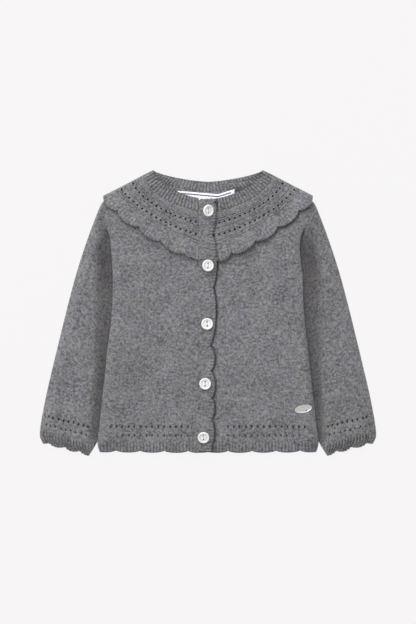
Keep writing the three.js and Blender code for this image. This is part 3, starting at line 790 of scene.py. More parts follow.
# Body panels
def panel_plan(u, v, neck, inner, side):
    """Plan of a body panel, one side, from the side edge to inner and from the hem to shoulder and neck."""
    if v < YOKE_SHARE:
        y = lerp(HEM_Y, YOKE_Y, v / YOKE_SHARE)
        return lerp(shown_edge(side, y), inner, u), y
    share = (v - YOKE_SHARE) / (1 - YOKE_SHARE)
    yoke_edge = shown_edge(side, YOKE_Y)
    start = lerp(yoke_edge, inner, u)
    if u <= SHOULDER_SHARE:
        end = SHOULDER_TIP.lerp(SHOULDER_NECK, u / SHOULDER_SHARE)
    else:
        end = neck.at(lerp(NECK_START, 1, (u - SHOULDER_SHARE) / (1 - SHOULDER_SHARE)))
    side_y = lerp(YOKE_Y, SHOULDER_TIP.y, share)
    bend = shown_edge(side, side_y) - lerp(yoke_edge, SHOULDER_TIP.x, share)
    return lerp(start, end.x, share) + bend * (1 - u) ** 2, lerp(YOKE_Y, end.y, share)


def hem_rib(x, y):
    """Drop of the scallops, height of the ribs, and the shade painted in their grooves with a painted
    highlight on their crests, near the hem.
    """
    near = clamp((HEM_RIB_TOP - y) / (HEM_RIB_TOP - HEM_Y))
    wave = (rib(x, RIB_PITCH) - 0.5) * smooth(0, RIB_FADE, near)
    return hem_drop(x) * near, wave * RIB_HEIGHT, -2 * wave * RIB_PAINTED_SHADE


def at_shoulder(y):
    """1 where the sleeve is sewn in flush with the body, 0 where it lies free beside it."""
    return smooth(*SEWN["y"], y)


def edge_round(distance, reach, fall):
    """How far a panel's side turns down near its edge."""
    near = clamp(1 - distance / reach)
    return fall * (1 - math.sqrt(1 - near * near))


def hem_holes(inner, step=0.0):
    """Eyelets of one side above the hem: x, y and the row's own size; step moves them along the row."""
    places = []
    for row in HEM_EYELETS:
        for i in range(row["count"]):
            x = row["first"] - row["pitch"] * (i + step)
            if x > inner:
                places.append((x, row["y"], row))
    return places


class EdgeShade:
    """Painted shadow beside the collar's free edge, on the cloth that it lies on."""

    def __init__(self, side):
        part = "left" if side < 0 else "right"
        strip = collar_strip()
        self.depth = COLLAR_SHADE[part]
        self.tree = kdtree.KDTree(EDGE_STEPS + 1)
        for i in range(EDGE_STEPS + 1):
            self.tree.insert(strip.plan(part, i / EDGE_STEPS, 1).to_3d(), i)
        self.tree.balance()

    def __call__(self, x, y):
        distance = self.tree.find(Vector((x, y, 0)))[2]
        return self.depth * smooth(COLLAR_SHADE["reach"], COLLAR_SHADE["full"], distance)


def band_shade(x, y):
    """Painted shadow beside the top band's scalloped edge."""
    past = x - band_edge(y)
    depth = BAND_SHADE["hollow"] * smooth(BAND_SHADE["reach"], BAND_SHADE["full"], past)
    return depth * smooth(*BAND_SHADE["edge"], past)


def side_shade(outer, y):
    """Painted shade along the side edge of the wearer's left front, where it turns in above the hem."""
    near = smooth(SIDE_SHADE["reach"], 0, outer)
    return SIDE_SHADE["hollow"] * window(y, *SIDE_SHADE["y"], SIDE_SHADE["soft"]) * near


def front_panel(name, node, side, inner, settings):
    neck = rounded_v(NECK_SEAM, "front", inner, PANEL_SEAM_STEP)
    shade = EdgeShade(side)

    def place(u, v):
        x, y = panel_plan(u, v, neck, inner, side)
        drop, ribs, hollow = hem_rib(x, y)
        outer = max(0.0, min(shown_edge(side, y) - x, shoulder_distance(x, y)))
        # The wearer's left front gets painted shadow beside the collar's edge and the band and painted shade
        # along its side edge; the right front only beside the collar
        if side > 0:
            hollow += max(shade(x, y), band_shade(x, y)) + side_shade(outer, y)
        else:
            hollow += shade(x, y)
        free = 1 - at_shoulder(y)
        reach, fall = SIDE_SEAM["round"]
        top = front_low(side * x, y) + WALL + lie(side * x, y) + ribs
        top += SIDE_SEAM["lift"] * window(outer, *SIDE_SEAM["from"], SIDE_SEAM["soft"]) * free
        top -= edge_round(outer, reach, fall + SIDE_SEAM["round_free"] * free)
        top -= edge_round(y - HEM_Y, *HEM_ROUND)
        return (side * x, y - drop, top), (side * x, y - drop), hollow

    holes = [((side * x, y, front_low(side * x, y) + WALL), row) for x, y, row in hem_holes(inner + 3)]
    piece, area = cloth(name, PANEL_GRID, place, (side * 60, -40, 9), holes=holes)
    dress(piece, node, material_from(wool, settings))


def back_panel(settings):
    neck = rounded_v(NECK_SEAM, "back", 0, BACK_SEAM_STEP)

    def place(u, v):
        side = -1 if u < 0.5 else 1
        x, y = panel_plan(1 - abs(u - 0.5) * 2, v, neck, 0, side)
        drop, ribs, hollow = hem_rib(x, y)
        top = back_low(side * x, y) + WALL + max(-0.1, ribs * 0.5)
        if side > 0:
            # Painted shade on the back beside the front neckband
            near_neck = window(x, *NECK_SHADE["x"], NECK_SHADE["soft"]) * smooth(*NECK_SHADE["y"], y)
            hollow += NECK_SHADE["hollow"] * near_neck
        return (side * x, y - drop, top), (side * x, y - drop), hollow

    holes = [((side * x, y, back_low(x, y) + WALL), row)
             for side in (-1, 1) for x, y, row in hem_holes(2, 0.5)]
    piece, area = cloth("back_knit", BACK_GRID, place, (0, -40, 2), holes=holes)
    dress(piece, "back", material_from(wool, settings))


# Sleeves
def cuff_lobe(share):
    """Scallops of a cuff between its notches, from the outer edge inwards."""
    notches = CUFF["notches"]
    i = clamp(bisect.bisect_right(notches, share), 1, len(notches) - 1)
    place = (share - notches[i - 1]) / (notches[i] - notches[i - 1])
    return lobe(clamp(place, 0, 0.9999), 1.0)


def around(q, width):
    """Distance in from the outer edge, and share of the full height, at a share of one side of the tube."""
    run = width + OUTER_FOLD["cloth"] + INNER_FOLD["cloth"] - OUTER_FOLD["width"] - INNER_FOLD["width"]
    spot = q * run
    if spot < OUTER_FOLD["cloth"]:
        angle = spot / OUTER_FOLD["cloth"] * math.pi / 2
        return OUTER_FOLD["width"] * (1 - math.cos(angle)), math.sin(angle)
    if spot > run - INNER_FOLD["cloth"]:
        angle = (run - spot) / INNER_FOLD["cloth"] * math.pi / 2
        return width - INNER_FOLD["width"] * (1 - math.cos(angle)), math.sin(angle)
    return OUTER_FOLD["width"] + spot - OUTER_FOLD["cloth"], 1.0


def sleeve(name, node, side, settings):
    outer_edge = spline(SLEEVE_OUTER)
    inner_edge = spline(SLEEVE_INNER)
    length = inner_edge.length
    valley_flat, valley_end, valley_painted_shade = (
        Profile([(row[0], row[i]) for row in VALLEYS[side]]) for i in (1, 2, 3))

    def place(u, v):
        a, b = outer_edge.at(v), inner_edge.at(v)
        width = (b - a).length
        across = (b - a).normalized()
        down = Vector((-across.y, across.x))
        upper = u < SLEEVE_TOP_SHARE
        q = 1 - u / SLEEVE_TOP_SHARE if upper else (u - SLEEVE_TOP_SHARE) / (1 - SLEEVE_TOP_SHARE)
        s, lift = around(q, width)
        along = v * length
        near_cuff = clamp(1 - along / CUFF["rib"])
        drop = (CUFF["depth"] * (cuff_lobe(s / width) - 1) - CUFF["short"]) * near_cuff
        plan = a + across * s + down * drop
        outside = plan.x - shown_edge(side, plan.y)
        sewn = at_shoulder(plan.y)
        end = valley_end(plan.y)
        rise = smooth(lerp(VALLEY_START, SEWN["start"], sewn), lerp(end, SEWN["end"], sewn), outside)
        rise *= lerp(1, SEWN["height"], sewn) * smooth(0, SLEEVE_SLOPE["cuff"], along)
        rise *= smooth(0, lerp(SLEEVE_SLOPE["outer"], SLEEVE_SLOPE["sewn_outer"], sewn), s)
        top = SLEEVE_LOW_TOP + SLEEVE_LOFT * rise
        middle = top / 2
        hollow = 0.0
        height = middle + (middle if upper else -middle) * lift
        if upper:
            free = lerp(smooth(2, 8, outside), 1, sewn) * smooth(0, 8, s)
            height += lie(side * plan.x, plan.y) * free
            wave = (rib(s, CUFF["pitch"]) - 0.5) * smooth(0, RIB_FADE, near_cuff) * smooth(0, 4, s)
            height += wave * RIB_HEIGHT
            # The sleeve is painted darker in the valley beside the body, standing in for its shade, and in
            # the cuff's rib grooves; rib crests get a painted highlight
            painted_valley_shade = valley_painted_shade(plan.y) * smooth(end, valley_flat(plan.y), outside)
            painted_valley_shade *= smooth(*VALLEY_CUFF, along)
            painted_valley_shade *= lerp(VALLEY_BESIDE[side], 1, smooth(0, BESIDE_REACH, outside))
            hollow = painted_valley_shade - 2 * wave * CUFF["hollow"]
        stitch = s if upper else 2 * width - s
        return (side * plan.x, plan.y, height), (stitch * side, along - drop), hollow

    holes = []
    for row in CUFF_EYELETS:
        for i in range(row["count"]):
            for height, step in ((SLEEVE_LOW_TOP + SLEEVE_LOFT, 0), (0.0, 0.5)):
                spot = Vector(row["start"]).lerp(Vector(row["end"]), (i + step) / (row["count"] - 1))
                holes.append(((side * spot.x, spot.y, height), row))
    piece, area = cloth(name, SLEEVE_GRID, place, (side * 140, -40, 6), holes=holes, tube=True)
    dress(piece, node, material_from(wool, settings))


# Collar and neckband
class FoldedStrip:
    """Strip from one front over the side fold, behind the neck and over the other fold to the other."""

    def __init__(self, near, far, shares, near_out=0.0, scallop=None, right_end=COLLAR_RIGHT_END):
        self.near = self.rims(near, near_out, right_end)
        self.far = self.rims(far, 0.0, right_end)
        self.scallop = scallop
        a = self.near["back"].at(0)
        b = self.plan("back", 0, 1)
        along = (b - a).normalized()
        self.fold_start = a
        self.fold_out = Vector((-along.y, along.x))
        if self.fold_out.y < 0:
            self.fold_out.negate()
        self.shares = shares

    @staticmethod
    def rims(edge, out, right_end):
        return {
            "left": rounded_v(edge, "front", LEFT_END, out),
            "right": rounded_v(edge, "front", right_end, out),
            "back": rounded_v(edge, "back", 0, out),
        }

    def shift(self, part, f):
        """How far a scallop stands out past the notches."""
        if not self.scallop:
            return 0.0
        total = self.far[part].length
        along = f * total
        first = self.scallop["back" if part == "back" else "front"]
        width = (total - first) / BACK_SCALLOPS if part == "back" else self.scallop["pitch"]
        place = 1 - (first - along) / self.scallop["pitch"] if along < first else (along - first) / width
        return self.scallop["depth"] * lobe(place) * smooth(-4, 8, along)

    def plan(self, part, f, t):
        spot = self.near[part].at(f).lerp(self.far[part].at(f), t)
        if self.scallop:
            start, end = BAND_SCALLOP["reach"]
            at_band = smooth(start, end, (1 - f) * self.far[part].length) * (part != "back")
            outward = self.far[part].outward(f).lerp(Vector((0, -1)), at_band)
            spot += outward * self.shift(part, f) * (1 - BAND_SCALLOP["less"] * at_band) * t ** 3
        return spot

    def part_at(self, u):
        """Which side and part of the strip a share along it falls in, and how far from the fold."""
        first, middle, last = self.shares
        if u < first:
            return -1, "left", 1 - u / first
        if u < middle:
            return -1, "back", (u - first) / (middle - first)
        if u < last:
            return 1, "back", 1 - (u - middle) / (last - middle)
        return 1, "right", (u - last) / (1 - last)

    def run(self, part, f):
        """Distance along the cloth from the middle of the back."""
        half = {key: (self.near[key].length + self.far[key].length) / 2 for key in self.near}
        return half["back"] * (1 - f) if part == "back" else half["back"] + half[part] * f

    def point(self, side, part, f, t, top, low, raised):
        spot = self.plan(part, f, t)
        inside = max(0.0, -(spot - self.fold_start).dot(self.fold_out))
        turn = math.acos(1 - min(1.0, inside / FOLD_RADIUS))
        high = top(side * spot.x, spot.y)
        middle, half = (high + low) / 2, (high - low) / 2
        sign = -1 if part == "back" else 1
        out = self.fold_out * math.cos(turn) * raised * FOLD_SPREAD
        height = middle + sign * (half + raised) * math.sin(turn)
        return side * (spot.x + out.x), spot.y + out.y, height


def collar_strip():
    return FoldedStrip(NECK_SEAM, COLLAR_EDGE, COLLAR_SHARES, SEAM_STEP, COLLAR_SCALLOP)


def collar(settings):
    strip = collar_strip()

    def top(x, y):
        return front_low(x, y) + WALL + COLLAR_REST + WALL + lie(x, y)

    def settle(side, part, f, v):
        """The collar dips to meet the neckband and the band, and its free edge stands off."""
        at_seam = COLLAR_SEAM["dip"] * (1 - smooth(0, COLLAR_SEAM["reach"], v * COLLAR_WIDTH))
        to_band = (1 - f) * strip.far[part].length
        from_band = {"left": smooth(0, 9, to_band), "right": smooth(2, 9, to_band), "back": 1.0}[part]
        free = COLLAR_LIFT * smooth(0.55, 0.95, v) * smooth(0.02, 0.12, f) * from_band
        dip = (at_seam + edge_round((1 - v) * COLLAR_WIDTH, *COLLAR_ROUND)) * smooth(0, 0.1, f)
        if part == "back":
            return dip
        return free - dip - COLLAR_DIP[part] * (1 - from_band)

    def place(u, v):
        side, part, f = strip.part_at(u)
        down = v * COLLAR_WIDTH
        run = strip.run(part, f)
        frill_start = COLLAR_WIDTH - COLLAR_FRILL["width"]
        frill = smooth(frill_start, frill_start + 2, down)
        ridges = max(window(down, low, high, 0.4) for low, high in COLLAR_RIDGES)
        lines = lerp(COLLAR_RIDGE["between"], 1, ridges) * (1 - frill)
        wave = rib(down, COLLAR_RIDGE["pitch"]) - 0.5
        radial = (rib(run, COLLAR_FRILL["pitch"]) - 0.5) * frill
        raised = ridges * wave * COLLAR_RIDGE["height"] + radial * COLLAR_FRILL["height"]
        # Painted shade in the ridge and frill grooves, a painted highlight on their crests, and on the right
        # half a painted shadow beside the band
        hollow = -2 * (lines * wave * COLLAR_RIDGE["hollow"] + radial * COLLAR_FRILL["hollow"])
        if part == "back":
            raised = min(raised, 0.0)
        x, y, z = strip.point(side, part, f, v, top, 0.0, raised)
        if part == "right":
            hollow += COLLAR_BAND_SHADE * band_shade(x, y)
        return (x, y, z + settle(side, part, f, v)), (side * run, down), hollow

    holes = []
    for row in COLLAR_EYELETS:
        for side, part in ((-1, "left"), (-1, "back"), (1, "back"), (1, "right")):
            length = lerp(strip.near[part].length, strip.far[part].length, row["side"])
            count = round(length * EYELET_SHARE / row["pitch"])
            for i in range(count):
                f = (i + EYELET_FIRST) / (count + 0.1)
                t = lerp(row["side"], row["middle"], f)
                holes.append((strip.point(side, part, f, t, top, 0.0, 0.0), row))
    piece, area = cloth("collar_knit", COLLAR_GRID, place, (-50, 85, 12), holes=holes)
    dress(piece, "collar", material_from(wool, settings))


def neckband(settings):
    strip = FoldedStrip(NECK_SEAM, NECK_EDGE, NECKBAND_SHARES)

    def top(x, y):
        return front_low(x, y) + LAYER + WALL - NECKBAND["sink"] + lie(x, y)

    def place(u, v):
        side, part, f = strip.part_at(u)
        run = strip.run(part, f)
        crest = rib(run, NECKBAND["pitch"])
        raised = (crest - 0.4) * NECKBAND["height"]
        if part == "back":
            raised *= -NECKBAND["back"] * smooth(*NECKBAND["back_fade"], v)
        point = strip.point(side, part, f, v, top, NECKBAND["low"], raised)
        # Painted shade in the rib grooves and a painted highlight on crests; painted shadow beside the band,
        # on the back towards the folds, and along the front's inner edge
        hollow = (1.1 - 2 * crest) * NECKBAND["hollow"]
        if part == "right":
            hollow += COLLAR_BAND_SHADE * band_shade(point[0], point[1])
        if part == "back":
            hollow *= NECKBAND["back_painted_shade"]
            hollow += NECKBAND["corner"] * smooth(*NECKBAND["corner_x"], abs(point[0]))
        else:
            hollow += NECKBAND["edge"] * smooth(*NECKBAND["edge_v"], v) * smooth(*NECKBAND["edge_f"], f)
        return point, (side * run, v * NECKBAND["width"]), hollow

    piece, area = cloth("neckband_knit", NECKBAND_GRID, place, (-40, 118, 11), wall=NECKBAND["wall"])
    dress(piece, "neckband", material_from(wool, settings))


# Front bands
def band_edge(y):
    """Scalloped free edge of the top band."""
    for (y0, x0, depth), (y1, x1, unused) in zip(BAND_NOTCHES, BAND_NOTCHES[1:]):
        if y >= y1:
            share = clamp((y0 - y) / (y0 - y1))
            return lerp(x0, x1, share) + depth * lobe(share * 0.9999)
    return BAND_NOTCHES[-1][1]


def top_band(settings):
    def place(u, v):
        y = lerp(HEM_Y, BAND_TOP, v)
        right = band_edge(y)
        x = lerp(BAND_LEFT_EDGE, right, u)
        start = x - right + BAND_EDGING["width"]
        wave = smooth(0, 1, start) * (rib(y, BAND_EDGING["pitch"]) - 0.5)
        groove = BAND_EDGING["groove"] * math.exp(-(start / BAND_EDGING["groove_width"]) ** 2)
        height = band_low(y) + WALL + lie(x, y) + wave * BAND_EDGING["height"] - groove
        beside = front_low(-LEFT_END, y) + WALL + lie(x, y)
        beside += BAND_RISE["beside"] * smooth(*BAND_RISE["beside_y"], y)
        height = lerp(beside, height, smooth(0, BAND_RISE["slope"], x - BAND_LEFT_EDGE))
        height -= edge_round(right - x, *BAND_ROUND) + edge_round(y - HEM_Y, *HEM_ROUND)
        from_middle = (x - BAND_END["middle"]) / BAND_END["half"]
        plan_y = min(y, BAND_TOP - BAND_END["round"] * from_middle ** 2)
        # The edging ribs are painted darker in their grooves as shade and lighter on their crests as painted
        # highlight
        return (x, plan_y, height), (x, plan_y), -2 * wave * BAND_EDGING["hollow"]

    piece, area = cloth("band_right_knit", BAND_GRID, place, (-3, -20, 8))
    dress(piece, "band_right", material_from(wool, settings))


def under_band(settings):
    def place(u, v):
        y = lerp(HEM_Y, UNDER_BAND["top"], v)
        x = lerp(UNDER_BAND["left"], UNDER_BAND["right"], u)
        height = back_low(0, y) + LAYER + LOFT["under_band"] + WALL + lie(x, y)
        # Painted shadow beside the top band's edge
        return (x, y, height), (x, y), band_shade(x, y)

    piece, area = cloth("band_left_knit", UNDER_BAND_GRID, place, (0, -20, 5))
    dress(piece, "band_left", material_from(wool, settings))


# Buttons, label and plate
def button(number, settings):
    low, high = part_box(f"button_{number}")
    centre = (low + high) / 2 / MM
    base = low.z / MM
    lift, height, radius, rim = (BUTTON[key] for key in ("lift", "height", "radius", "rim"))
    bowl = lift + height - BUTTON["bowl"]
    profile = [
        (0.0, lift - 0.3), (radius - 1.2, lift - 0.3), (radius - 0.35, lift + 0.15), (radius, lift + 0.8),
        (radius - 0.15, lift + height - 0.55), (radius - 0.55, lift + height - 0.1),
        (radius - rim * 0.62, lift + height), (radius - rim, lift + height - 0.3),
        (radius - rim - 0.5, bowl - 0.1), (radius - rim - 1.1, bowl - 0.05), (radius - rim - 1.7, bowl),
        (0.0, bowl - 0.1),
    ]
    mesh = bmesh.new()
    spots = [mesh.verts.new((r * MM, 0, z * MM)) for r, z in profile]
    chain = [mesh.edges.new(pair) for pair in zip(spots, spots[1:])]
    bmesh.ops.spin(mesh, geom=[*spots, *chain], cent=(0, 0, 0), axis=(0, 0, 1), angle=math.tau,
                   steps=48, use_merge=True)
    bmesh.ops.remove_doubles(mesh, verts=mesh.verts, dist=0.01 * MM)
    bmesh.ops.recalc_face_normals(mesh, faces=mesh.faces)
    # The ring inside the rim is marked to be painted darker, as shade
    hollow = mesh.verts.layers.float.new("hollow")
    for vert in mesh.verts:
        if vert.co.z > bowl * 0.8 * MM:
            out = vert.co.xy.length / MM
            ring = window(out, BUTTON_RING["inner"], BUTTON_RING["outer"], BUTTON_RING["soft"])
            vert[hollow] = BUTTON_RING["hollow"] * ring
    place = Vector((centre.x, centre.y, base)) * MM
    turn = Matrix.Translation(place) @ tilt_of(number)
    mesh.transform(turn)
    piece = finished(f"button_{number}_shell", mesh)
    drill(piece, turn, bowl)
    round_edges(piece, 0.12, 2)
    dress(piece, f"button_{number}", material_from(pearl, settings))
    stitches(number, turn, bowl, settings)


def tilt_of(number):
    """Each button sits a little differently; the top one leans."""
    lean = BUTTON_LEAN[number]
    x, y, z = (math.radians(angle) for angle in lean)
    up = Matrix.Translation((0, 0, LEAN_LIFT * max(lean[:2]) * MM))
    return up @ Matrix.Rotation(y, 4, "Y") @ Matrix.Rotation(x, 4, "X") @ Matrix.Rotation(z, 4, "Z")


def drill(piece, turn, bowl):
    """Cuts the two thread holes through a button."""
    mesh = bmesh.new()
    for y in (-BUTTON["spacing"], BUTTON["spacing"]):
        place = turn @ Matrix.Translation(Vector((0, y, bowl)) * MM)
        bmesh.ops.create_cone(mesh, cap_ends=True, segments=16, radius1=BUTTON["hole"] * MM,
                              radius2=BUTTON["hole"] * MM, depth=8 * MM, matrix=place)
    cutter = finished("drill", mesh)
    cut = piece.modifiers.new("holes", "BOOLEAN")
    cut.operation = "DIFFERENCE"
    cut.solver = "EXACT"
    cut.object = cutter
    apply_modifiers(piece)
    bpy.data.objects.remove(cutter)


def apply_modifiers(piece):
    graph = bpy.context.evaluated_depsgraph_get()
    made = bpy.data.meshes.new_from_object(piece.evaluated_get(graph))
    piece.modifiers.clear()
    piece.data = made


def stitches(number, turn, bowl, settings):
    """Strand of thread between the holes, sunk in the bowl."""
    mesh = bmesh.new()
    start = Matrix.Translation(Vector((0, BUTTON["spacing"] - THREAD["inset"], 0)) * MM)
    ring = bmesh.ops.create_circle(mesh, segments=8, radius=THREAD["radius"] * MM, matrix=start)
    bmesh.ops.spin(mesh, geom=[*ring["verts"], *mesh.edges], cent=(0, 0, 0), axis=(1, 0, 0),
                   angle=math.pi, steps=12)
    bmesh.ops.remove_doubles(mesh, verts=mesh.verts, dist=0.001 * MM)
    for vert in mesh.verts:
        vert.co.z *= THREAD["flatten"]
    bmesh.ops.holes_fill(mesh, edges=mesh.edges)
    bmesh.ops.recalc_face_normals(mesh, faces=mesh.faces)
    mesh.transform(turn @ Matrix.Translation(Vector((0, 0, bowl - THREAD["sink"])) * MM))
    piece = finished(f"button_{number}_thread", mesh)
    piece.data.materials.append(material_from(thread, settings))
    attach(piece, "root")


def label(settings):
    line = Path(LABEL_LINE)
    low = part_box("label")[0].z / MM

    def place(u, v):
        spot = line.at(u)
        along = u * line.length
        bend = math.exp(-((along - LABEL_BEND["at"]) / LABEL_BEND["reach"]) ** 2)
        wave = LABEL_WAVE["height"] * math.sin(along / LABEL_WAVE["length"]) * (1 - bend)
        height = low + LABEL_WAVE["lift"] + wave - LABEL_BEND["dip"] * bend
        height += LABEL_WAVE["edge"] * smooth(-1, 1, v)
        width = LABEL["width"]
        return (spot.x, spot.y + (v - 0.5) * width, height), (along, v * width), 0.0

    piece, area = cloth("label_tape", LABEL_GRID, place, (-10, 118, 5), wall=LABEL["thickness"])
    dress(piece, "label", material_from(satin, settings))


def plate(settings):
    low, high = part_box("plate")
    centre = (low + high) / 2
    mesh = bmesh.new()
    bmesh.ops.create_circle(mesh, cap_ends=True, segments=48, radius=1.0)
    bmesh.ops.scale(mesh, verts=mesh.verts, vec=Vector((PLATE["length"] / 2, PLATE["width"] / 2, 1)) * MM)
    grown = bmesh.ops.extrude_face_region(mesh, geom=mesh.faces[:])
    raised = [item for item in grown["geom"] if isinstance(item, bmesh.types.BMVert)]
    bmesh.ops.translate(mesh, verts=raised, vec=(0, 0, PLATE["thickness"] * MM))
    top = [item for item in grown["geom"] if isinstance(item, bmesh.types.BMFace)]
    bmesh.ops.inset_region(mesh, faces=top, thickness=PLATE["rim"] * MM, depth=0.0)
    bmesh.ops.inset_region(mesh, faces=top, thickness=PLATE["step"] * MM, depth=-PLATE["sunk"] * MM)
    bmesh.ops.recalc_face_normals(mesh, faces=mesh.faces)
    slope = plate_slope(centre / MM)
    turn = Matrix.Rotation(math.radians(PLATE["turn"]), 4, "Z") @ Matrix.Rotation(-math.atan(slope), 4, "Y")
    shift = Matrix.Translation(Vector((centre.x, centre.y, centre.z - PLATE["thickness"] * MM / 2)))
    mesh.transform(shift @ turn)
    piece = finished("plate_metal", mesh)
    round_edges(piece, 0.2, 3)
    dress(piece, "plate", material_from(steel, settings))


def plate_slope(centre):
    """Rise of the cloth along the plate."""
    reach = PLATE["length"] / 2
    heights = [front_low(centre.x + step, centre.y) for step in (-reach, reach)]
    return (heights[1] - heights[0]) / PLATE["length"]


# Settings
def colour(name, description, default):
    return FloatVectorProperty(name=name, description=description, default=default, size=4, subtype="COLOR")


def amount(name, description, default, unit="LENGTH"):
    return FloatProperty(name=name, description=description, default=default, unit=unit)


class CardiganWool(bpy.types.PropertyGroup):
    """Yarn and stitches"""
    stitch_width: amount("Stitch width", "Width of one knit stitch", 0.0020)
    stitch_height: amount("Stitch height", "Height of one knit stitch", 0.0015)
    dark: colour("Dark fibre", "Darker of the two greys in the yarn", srgb(84, 84, 88))
    # The shade colour is the warm colour that painted shade darkens the wool towards
    shade: colour("Shade", "Warm colour deep between stitches and folds", (0.022, 0.015, 0.013, 1.0))
    light: colour("Light fibre", "Lighter of the two greys in the yarn", srgb(158, 158, 162))


class CardiganTrim(bpy.types.PropertyGroup):
    """Buttons, tape and plate"""
    shell_light: colour("Button", "Main colour of the buttons", srgb(250, 250, 249))
    shell_dark: colour("Button clouds", "Cloudier parts of the buttons", srgb(240, 240, 239))
    # Button shade is the colour that the ring inside each button's rim is painted towards, as shade
    shell_shade: colour("Button shade", "Colour deep in the ring of the buttons", srgb(96, 96, 98))
    thread: colour("Thread", "Colour of the sewing thread", srgb(226, 225, 220))
    thread_shade: colour("Thread shade", "Shaded side of the sewing thread", srgb(176, 175, 172))
    tape: colour("Tape", "Colour of the neck tape", srgb(252, 253, 255))
    tape_shade: colour("Tape shade", "Greyer threads of the tape", srgb(236, 239, 248))
    tape_line: colour("Tape line", "Colour of the line on the tape", srgb(78, 86, 122))
    metal: colour("Metal", "Colour of the plate", srgb(226, 226, 225))
    metal_dark: colour("Worn metal", "Duller parts of the plate", srgb(202, 202, 201))


class CardiganStage(bpy.types.PropertyGroup):
    """Floor, light and camera"""
    camera_height: amount("Camera height", "Height of the camera above the floor", 2.0)
    view_height: amount("View", "Length of floor that the picture's height shows", 0.624)
    light_power: amount("Light power", "Power of the soft light", 21.6, "POWER")
    light_size: amount("Light size", "Side of the square soft light", 1.1)
    sky: colour("Room light", "Colour of the light from all round", (1.0, 0.99, 0.98, 1.0))
    floor: colour("Floor", "Colour of the floor", srgb(247, 245, 246))


# Operators
class Maker:
    """What every operator does: it makes its pieces in the scene."""

    def execute(self, context):
        self.make(context.scene)
        return {"FINISHED"}


class CARDIGAN_OT_back(Maker, bpy.types.Operator):
    """Knit the back panel, which lies on the floor"""
    bl_idname = "cardigan.back"
    bl_label = "Back"

    def make(self, scene):
        back_panel(scene.cardigan_wool)


class CARDIGAN_OT_sleeves(Maker, bpy.types.Operator):
    """Knit both sleeves, tucked under the body"""
    bl_idname = "cardigan.sleeves"
    bl_label = "Sleeves"

    def make(self, scene):
        sleeve("sleeve_right_knit", "sleeve_right", -1, scene.cardigan_wool)
        sleeve("sleeve_left_knit", "sleeve_left", 1, scene.cardigan_wool)


class CARDIGAN_OT_fronts(Maker, bpy.types.Operator):
    """Knit the two front panels"""
    bl_idname = "cardigan.fronts"
    bl_label = "Fronts"

    def make(self, scene):
        front_panel("front_right_knit", "front_right", -1, LEFT_END, scene.cardigan_wool)
        front_panel("front_left_knit", "front_left", 1, RIGHT_END, scene.cardigan_wool)


class CARDIGAN_OT_collar(Maker, bpy.types.Operator):
    """Knit the scalloped collar"""
    bl_idname = "cardigan.collar"
    bl_label = "Collar"

    def make(self, scene):
        collar(scene.cardigan_wool)


class CARDIGAN_OT_neckband(Maker, bpy.types.Operator):
    """Knit the ribbed neckband"""
    bl_idname = "cardigan.neckband"
    bl_label = "Neckband"

    def make(self, scene):
        neckband(scene.cardigan_wool)


class CARDIGAN_OT_bands(Maker, bpy.types.Operator):
    """Knit the two front bands"""
    bl_idname = "cardigan.bands"
    bl_label = "Front bands"

    def make(self, scene):
        under_band(scene.cardigan_wool)
        top_band(scene.cardigan_wool)


class CARDIGAN_OT_buttons(Maker, bpy.types.Operator):
    """Sew on the five buttons"""
    bl_idname = "cardigan.buttons"
    bl_label = "Buttons"

    def make(self, scene):
        for number in range(1, 6):
            button(number, scene.cardigan_trim)


class CARDIGAN_OT_label(Maker, bpy.types.Operator):
    """Lay the plain tape inside the neck"""
    bl_idname = "cardigan.label"
    bl_label = "Neck tape"

    def make(self, scene):
        label(scene.cardigan_trim)


class CARDIGAN_OT_plate(Maker, bpy.types.Operator):
    """Fix the bare oval plate near the hem"""
    bl_idname = "cardigan.plate"
    bl_label = "Plate"

    def make(self, scene):
        plate(scene.cardigan_trim)


class CARDIGAN_OT_stage(Maker, bpy.types.Operator):
    """Set the floor, the light and the camera"""
    bl_idname = "cardigan.stage"
    bl_label = "Stage"

    def make(self, scene):
        settings = scene.cardigan_stage
        make_floor(settings)
        make_lights(settings)
        make_camera(settings)
        scene.view_settings.view_transform = "Standard"


def make_floor(settings):
    mesh = bmesh.new()
    bmesh.ops.create_grid(mesh, x_segments=1, y_segments=1, size=3.0)
    bmesh.ops.translate(mesh, verts=mesh.verts, vec=(0, 0, FLOOR_Z))
    floor = finished("floor", mesh)
    shader = Shader("floor")
    floor.data.materials.append(shader.finish(
        base_color=(0.03, 0.03, 0.03, 1),
        roughness=1.0,
        specular_ior_level=0.0,
        emission_color=tuple(settings.floor),
        emission_strength=FLOOR_GLOW,
    ))


def make_lights(settings):
    data = bpy.data.lights.new("soft light", "AREA")
    data.energy = settings.light_power
    data.size = settings.light_size
    lamp = bpy.data.objects.new("soft light", data)
    lamp.location = LIGHT_PLACE
    lamp.rotation_mode = "QUATERNION"
    lamp.rotation_quaternion = lamp.location.to_track_quat("Z", "Y")
    bpy.context.scene.collection.objects.link(lamp)
    world = bpy.data.worlds.new("room")
    world.use_nodes = True
    background = world.node_tree.nodes["Background"]
    background.inputs["Color"].default_value = tuple(settings.sky)
    background.inputs["Strength"].default_value = ROOM_STRENGTH
    bpy.context.scene.world = world


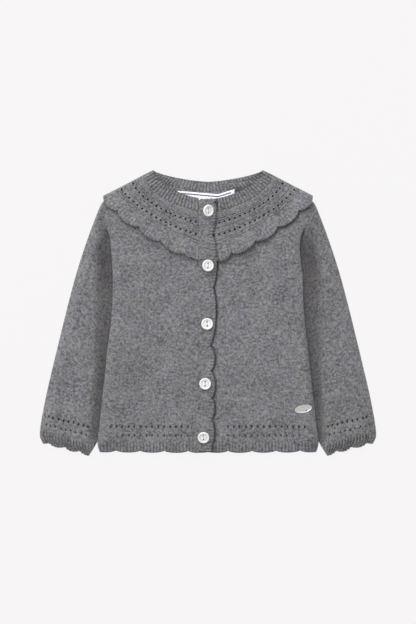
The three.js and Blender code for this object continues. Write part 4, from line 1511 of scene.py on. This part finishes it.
def make_camera(settings):
    data = bpy.data.cameras.new("camera")
    data.sensor_width = 36
    data.lens = data.sensor_width * (settings.camera_height - FOCUS_Z) / settings.view_height
    camera = bpy.data.objects.new("camera", data)
    camera.location = (0, CAMERA_Y, settings.camera_height)
    bpy.context.scene.collection.objects.link(camera)
    bpy.context.scene.camera = camera


class CARDIGAN_PT_panel(bpy.types.Panel):
    """Sizes, colours and pieces of the cardigan"""
    bl_idname = "CARDIGAN_PT_panel"
    bl_label = "Baby Cardigan"
    bl_space_type = "VIEW_3D"
    bl_region_type = "UI"
    bl_category = "Cardigan"

    def draw(self, context):
        scene = context.scene
        for group in (scene.cardigan_wool, scene.cardigan_trim, scene.cardigan_stage):
            box = self.layout.box()
            for name in group.__annotations__:
                box.prop(group, name)
        for operator in OPERATORS:
            self.layout.operator(operator.bl_idname)


OPERATORS = (
    CARDIGAN_OT_stage, CARDIGAN_OT_back, CARDIGAN_OT_sleeves, CARDIGAN_OT_fronts, CARDIGAN_OT_collar,
    CARDIGAN_OT_neckband, CARDIGAN_OT_bands, CARDIGAN_OT_buttons, CARDIGAN_OT_label, CARDIGAN_OT_plate,
)
CLASSES = (CardiganWool, CardiganTrim, CardiganStage, *OPERATORS, CARDIGAN_PT_panel)


def register():
    for item in CLASSES:
        bpy.utils.register_class(item)
    bpy.types.Scene.cardigan_wool = PointerProperty(type=CardiganWool)
    bpy.types.Scene.cardigan_trim = PointerProperty(type=CardiganTrim)
    bpy.types.Scene.cardigan_stage = PointerProperty(type=CardiganStage)


def unregister():
    del bpy.types.Scene.cardigan_stage
    del bpy.types.Scene.cardigan_trim
    del bpy.types.Scene.cardigan_wool
    for item in reversed(CLASSES):
        bpy.utils.unregister_class(item)


def main():
    register()
    bpy.ops.cardigan.stage()
    bpy.ops.cardigan.back()
    bpy.ops.cardigan.sleeves()
    bpy.ops.cardigan.fronts()
    bpy.ops.cardigan.collar()
    bpy.ops.cardigan.neckband()
    bpy.ops.cardigan.bands()
    bpy.ops.cardigan.buttons()
    bpy.ops.cardigan.label()
    bpy.ops.cardigan.plate()


if __name__ == "__main__":
    main()
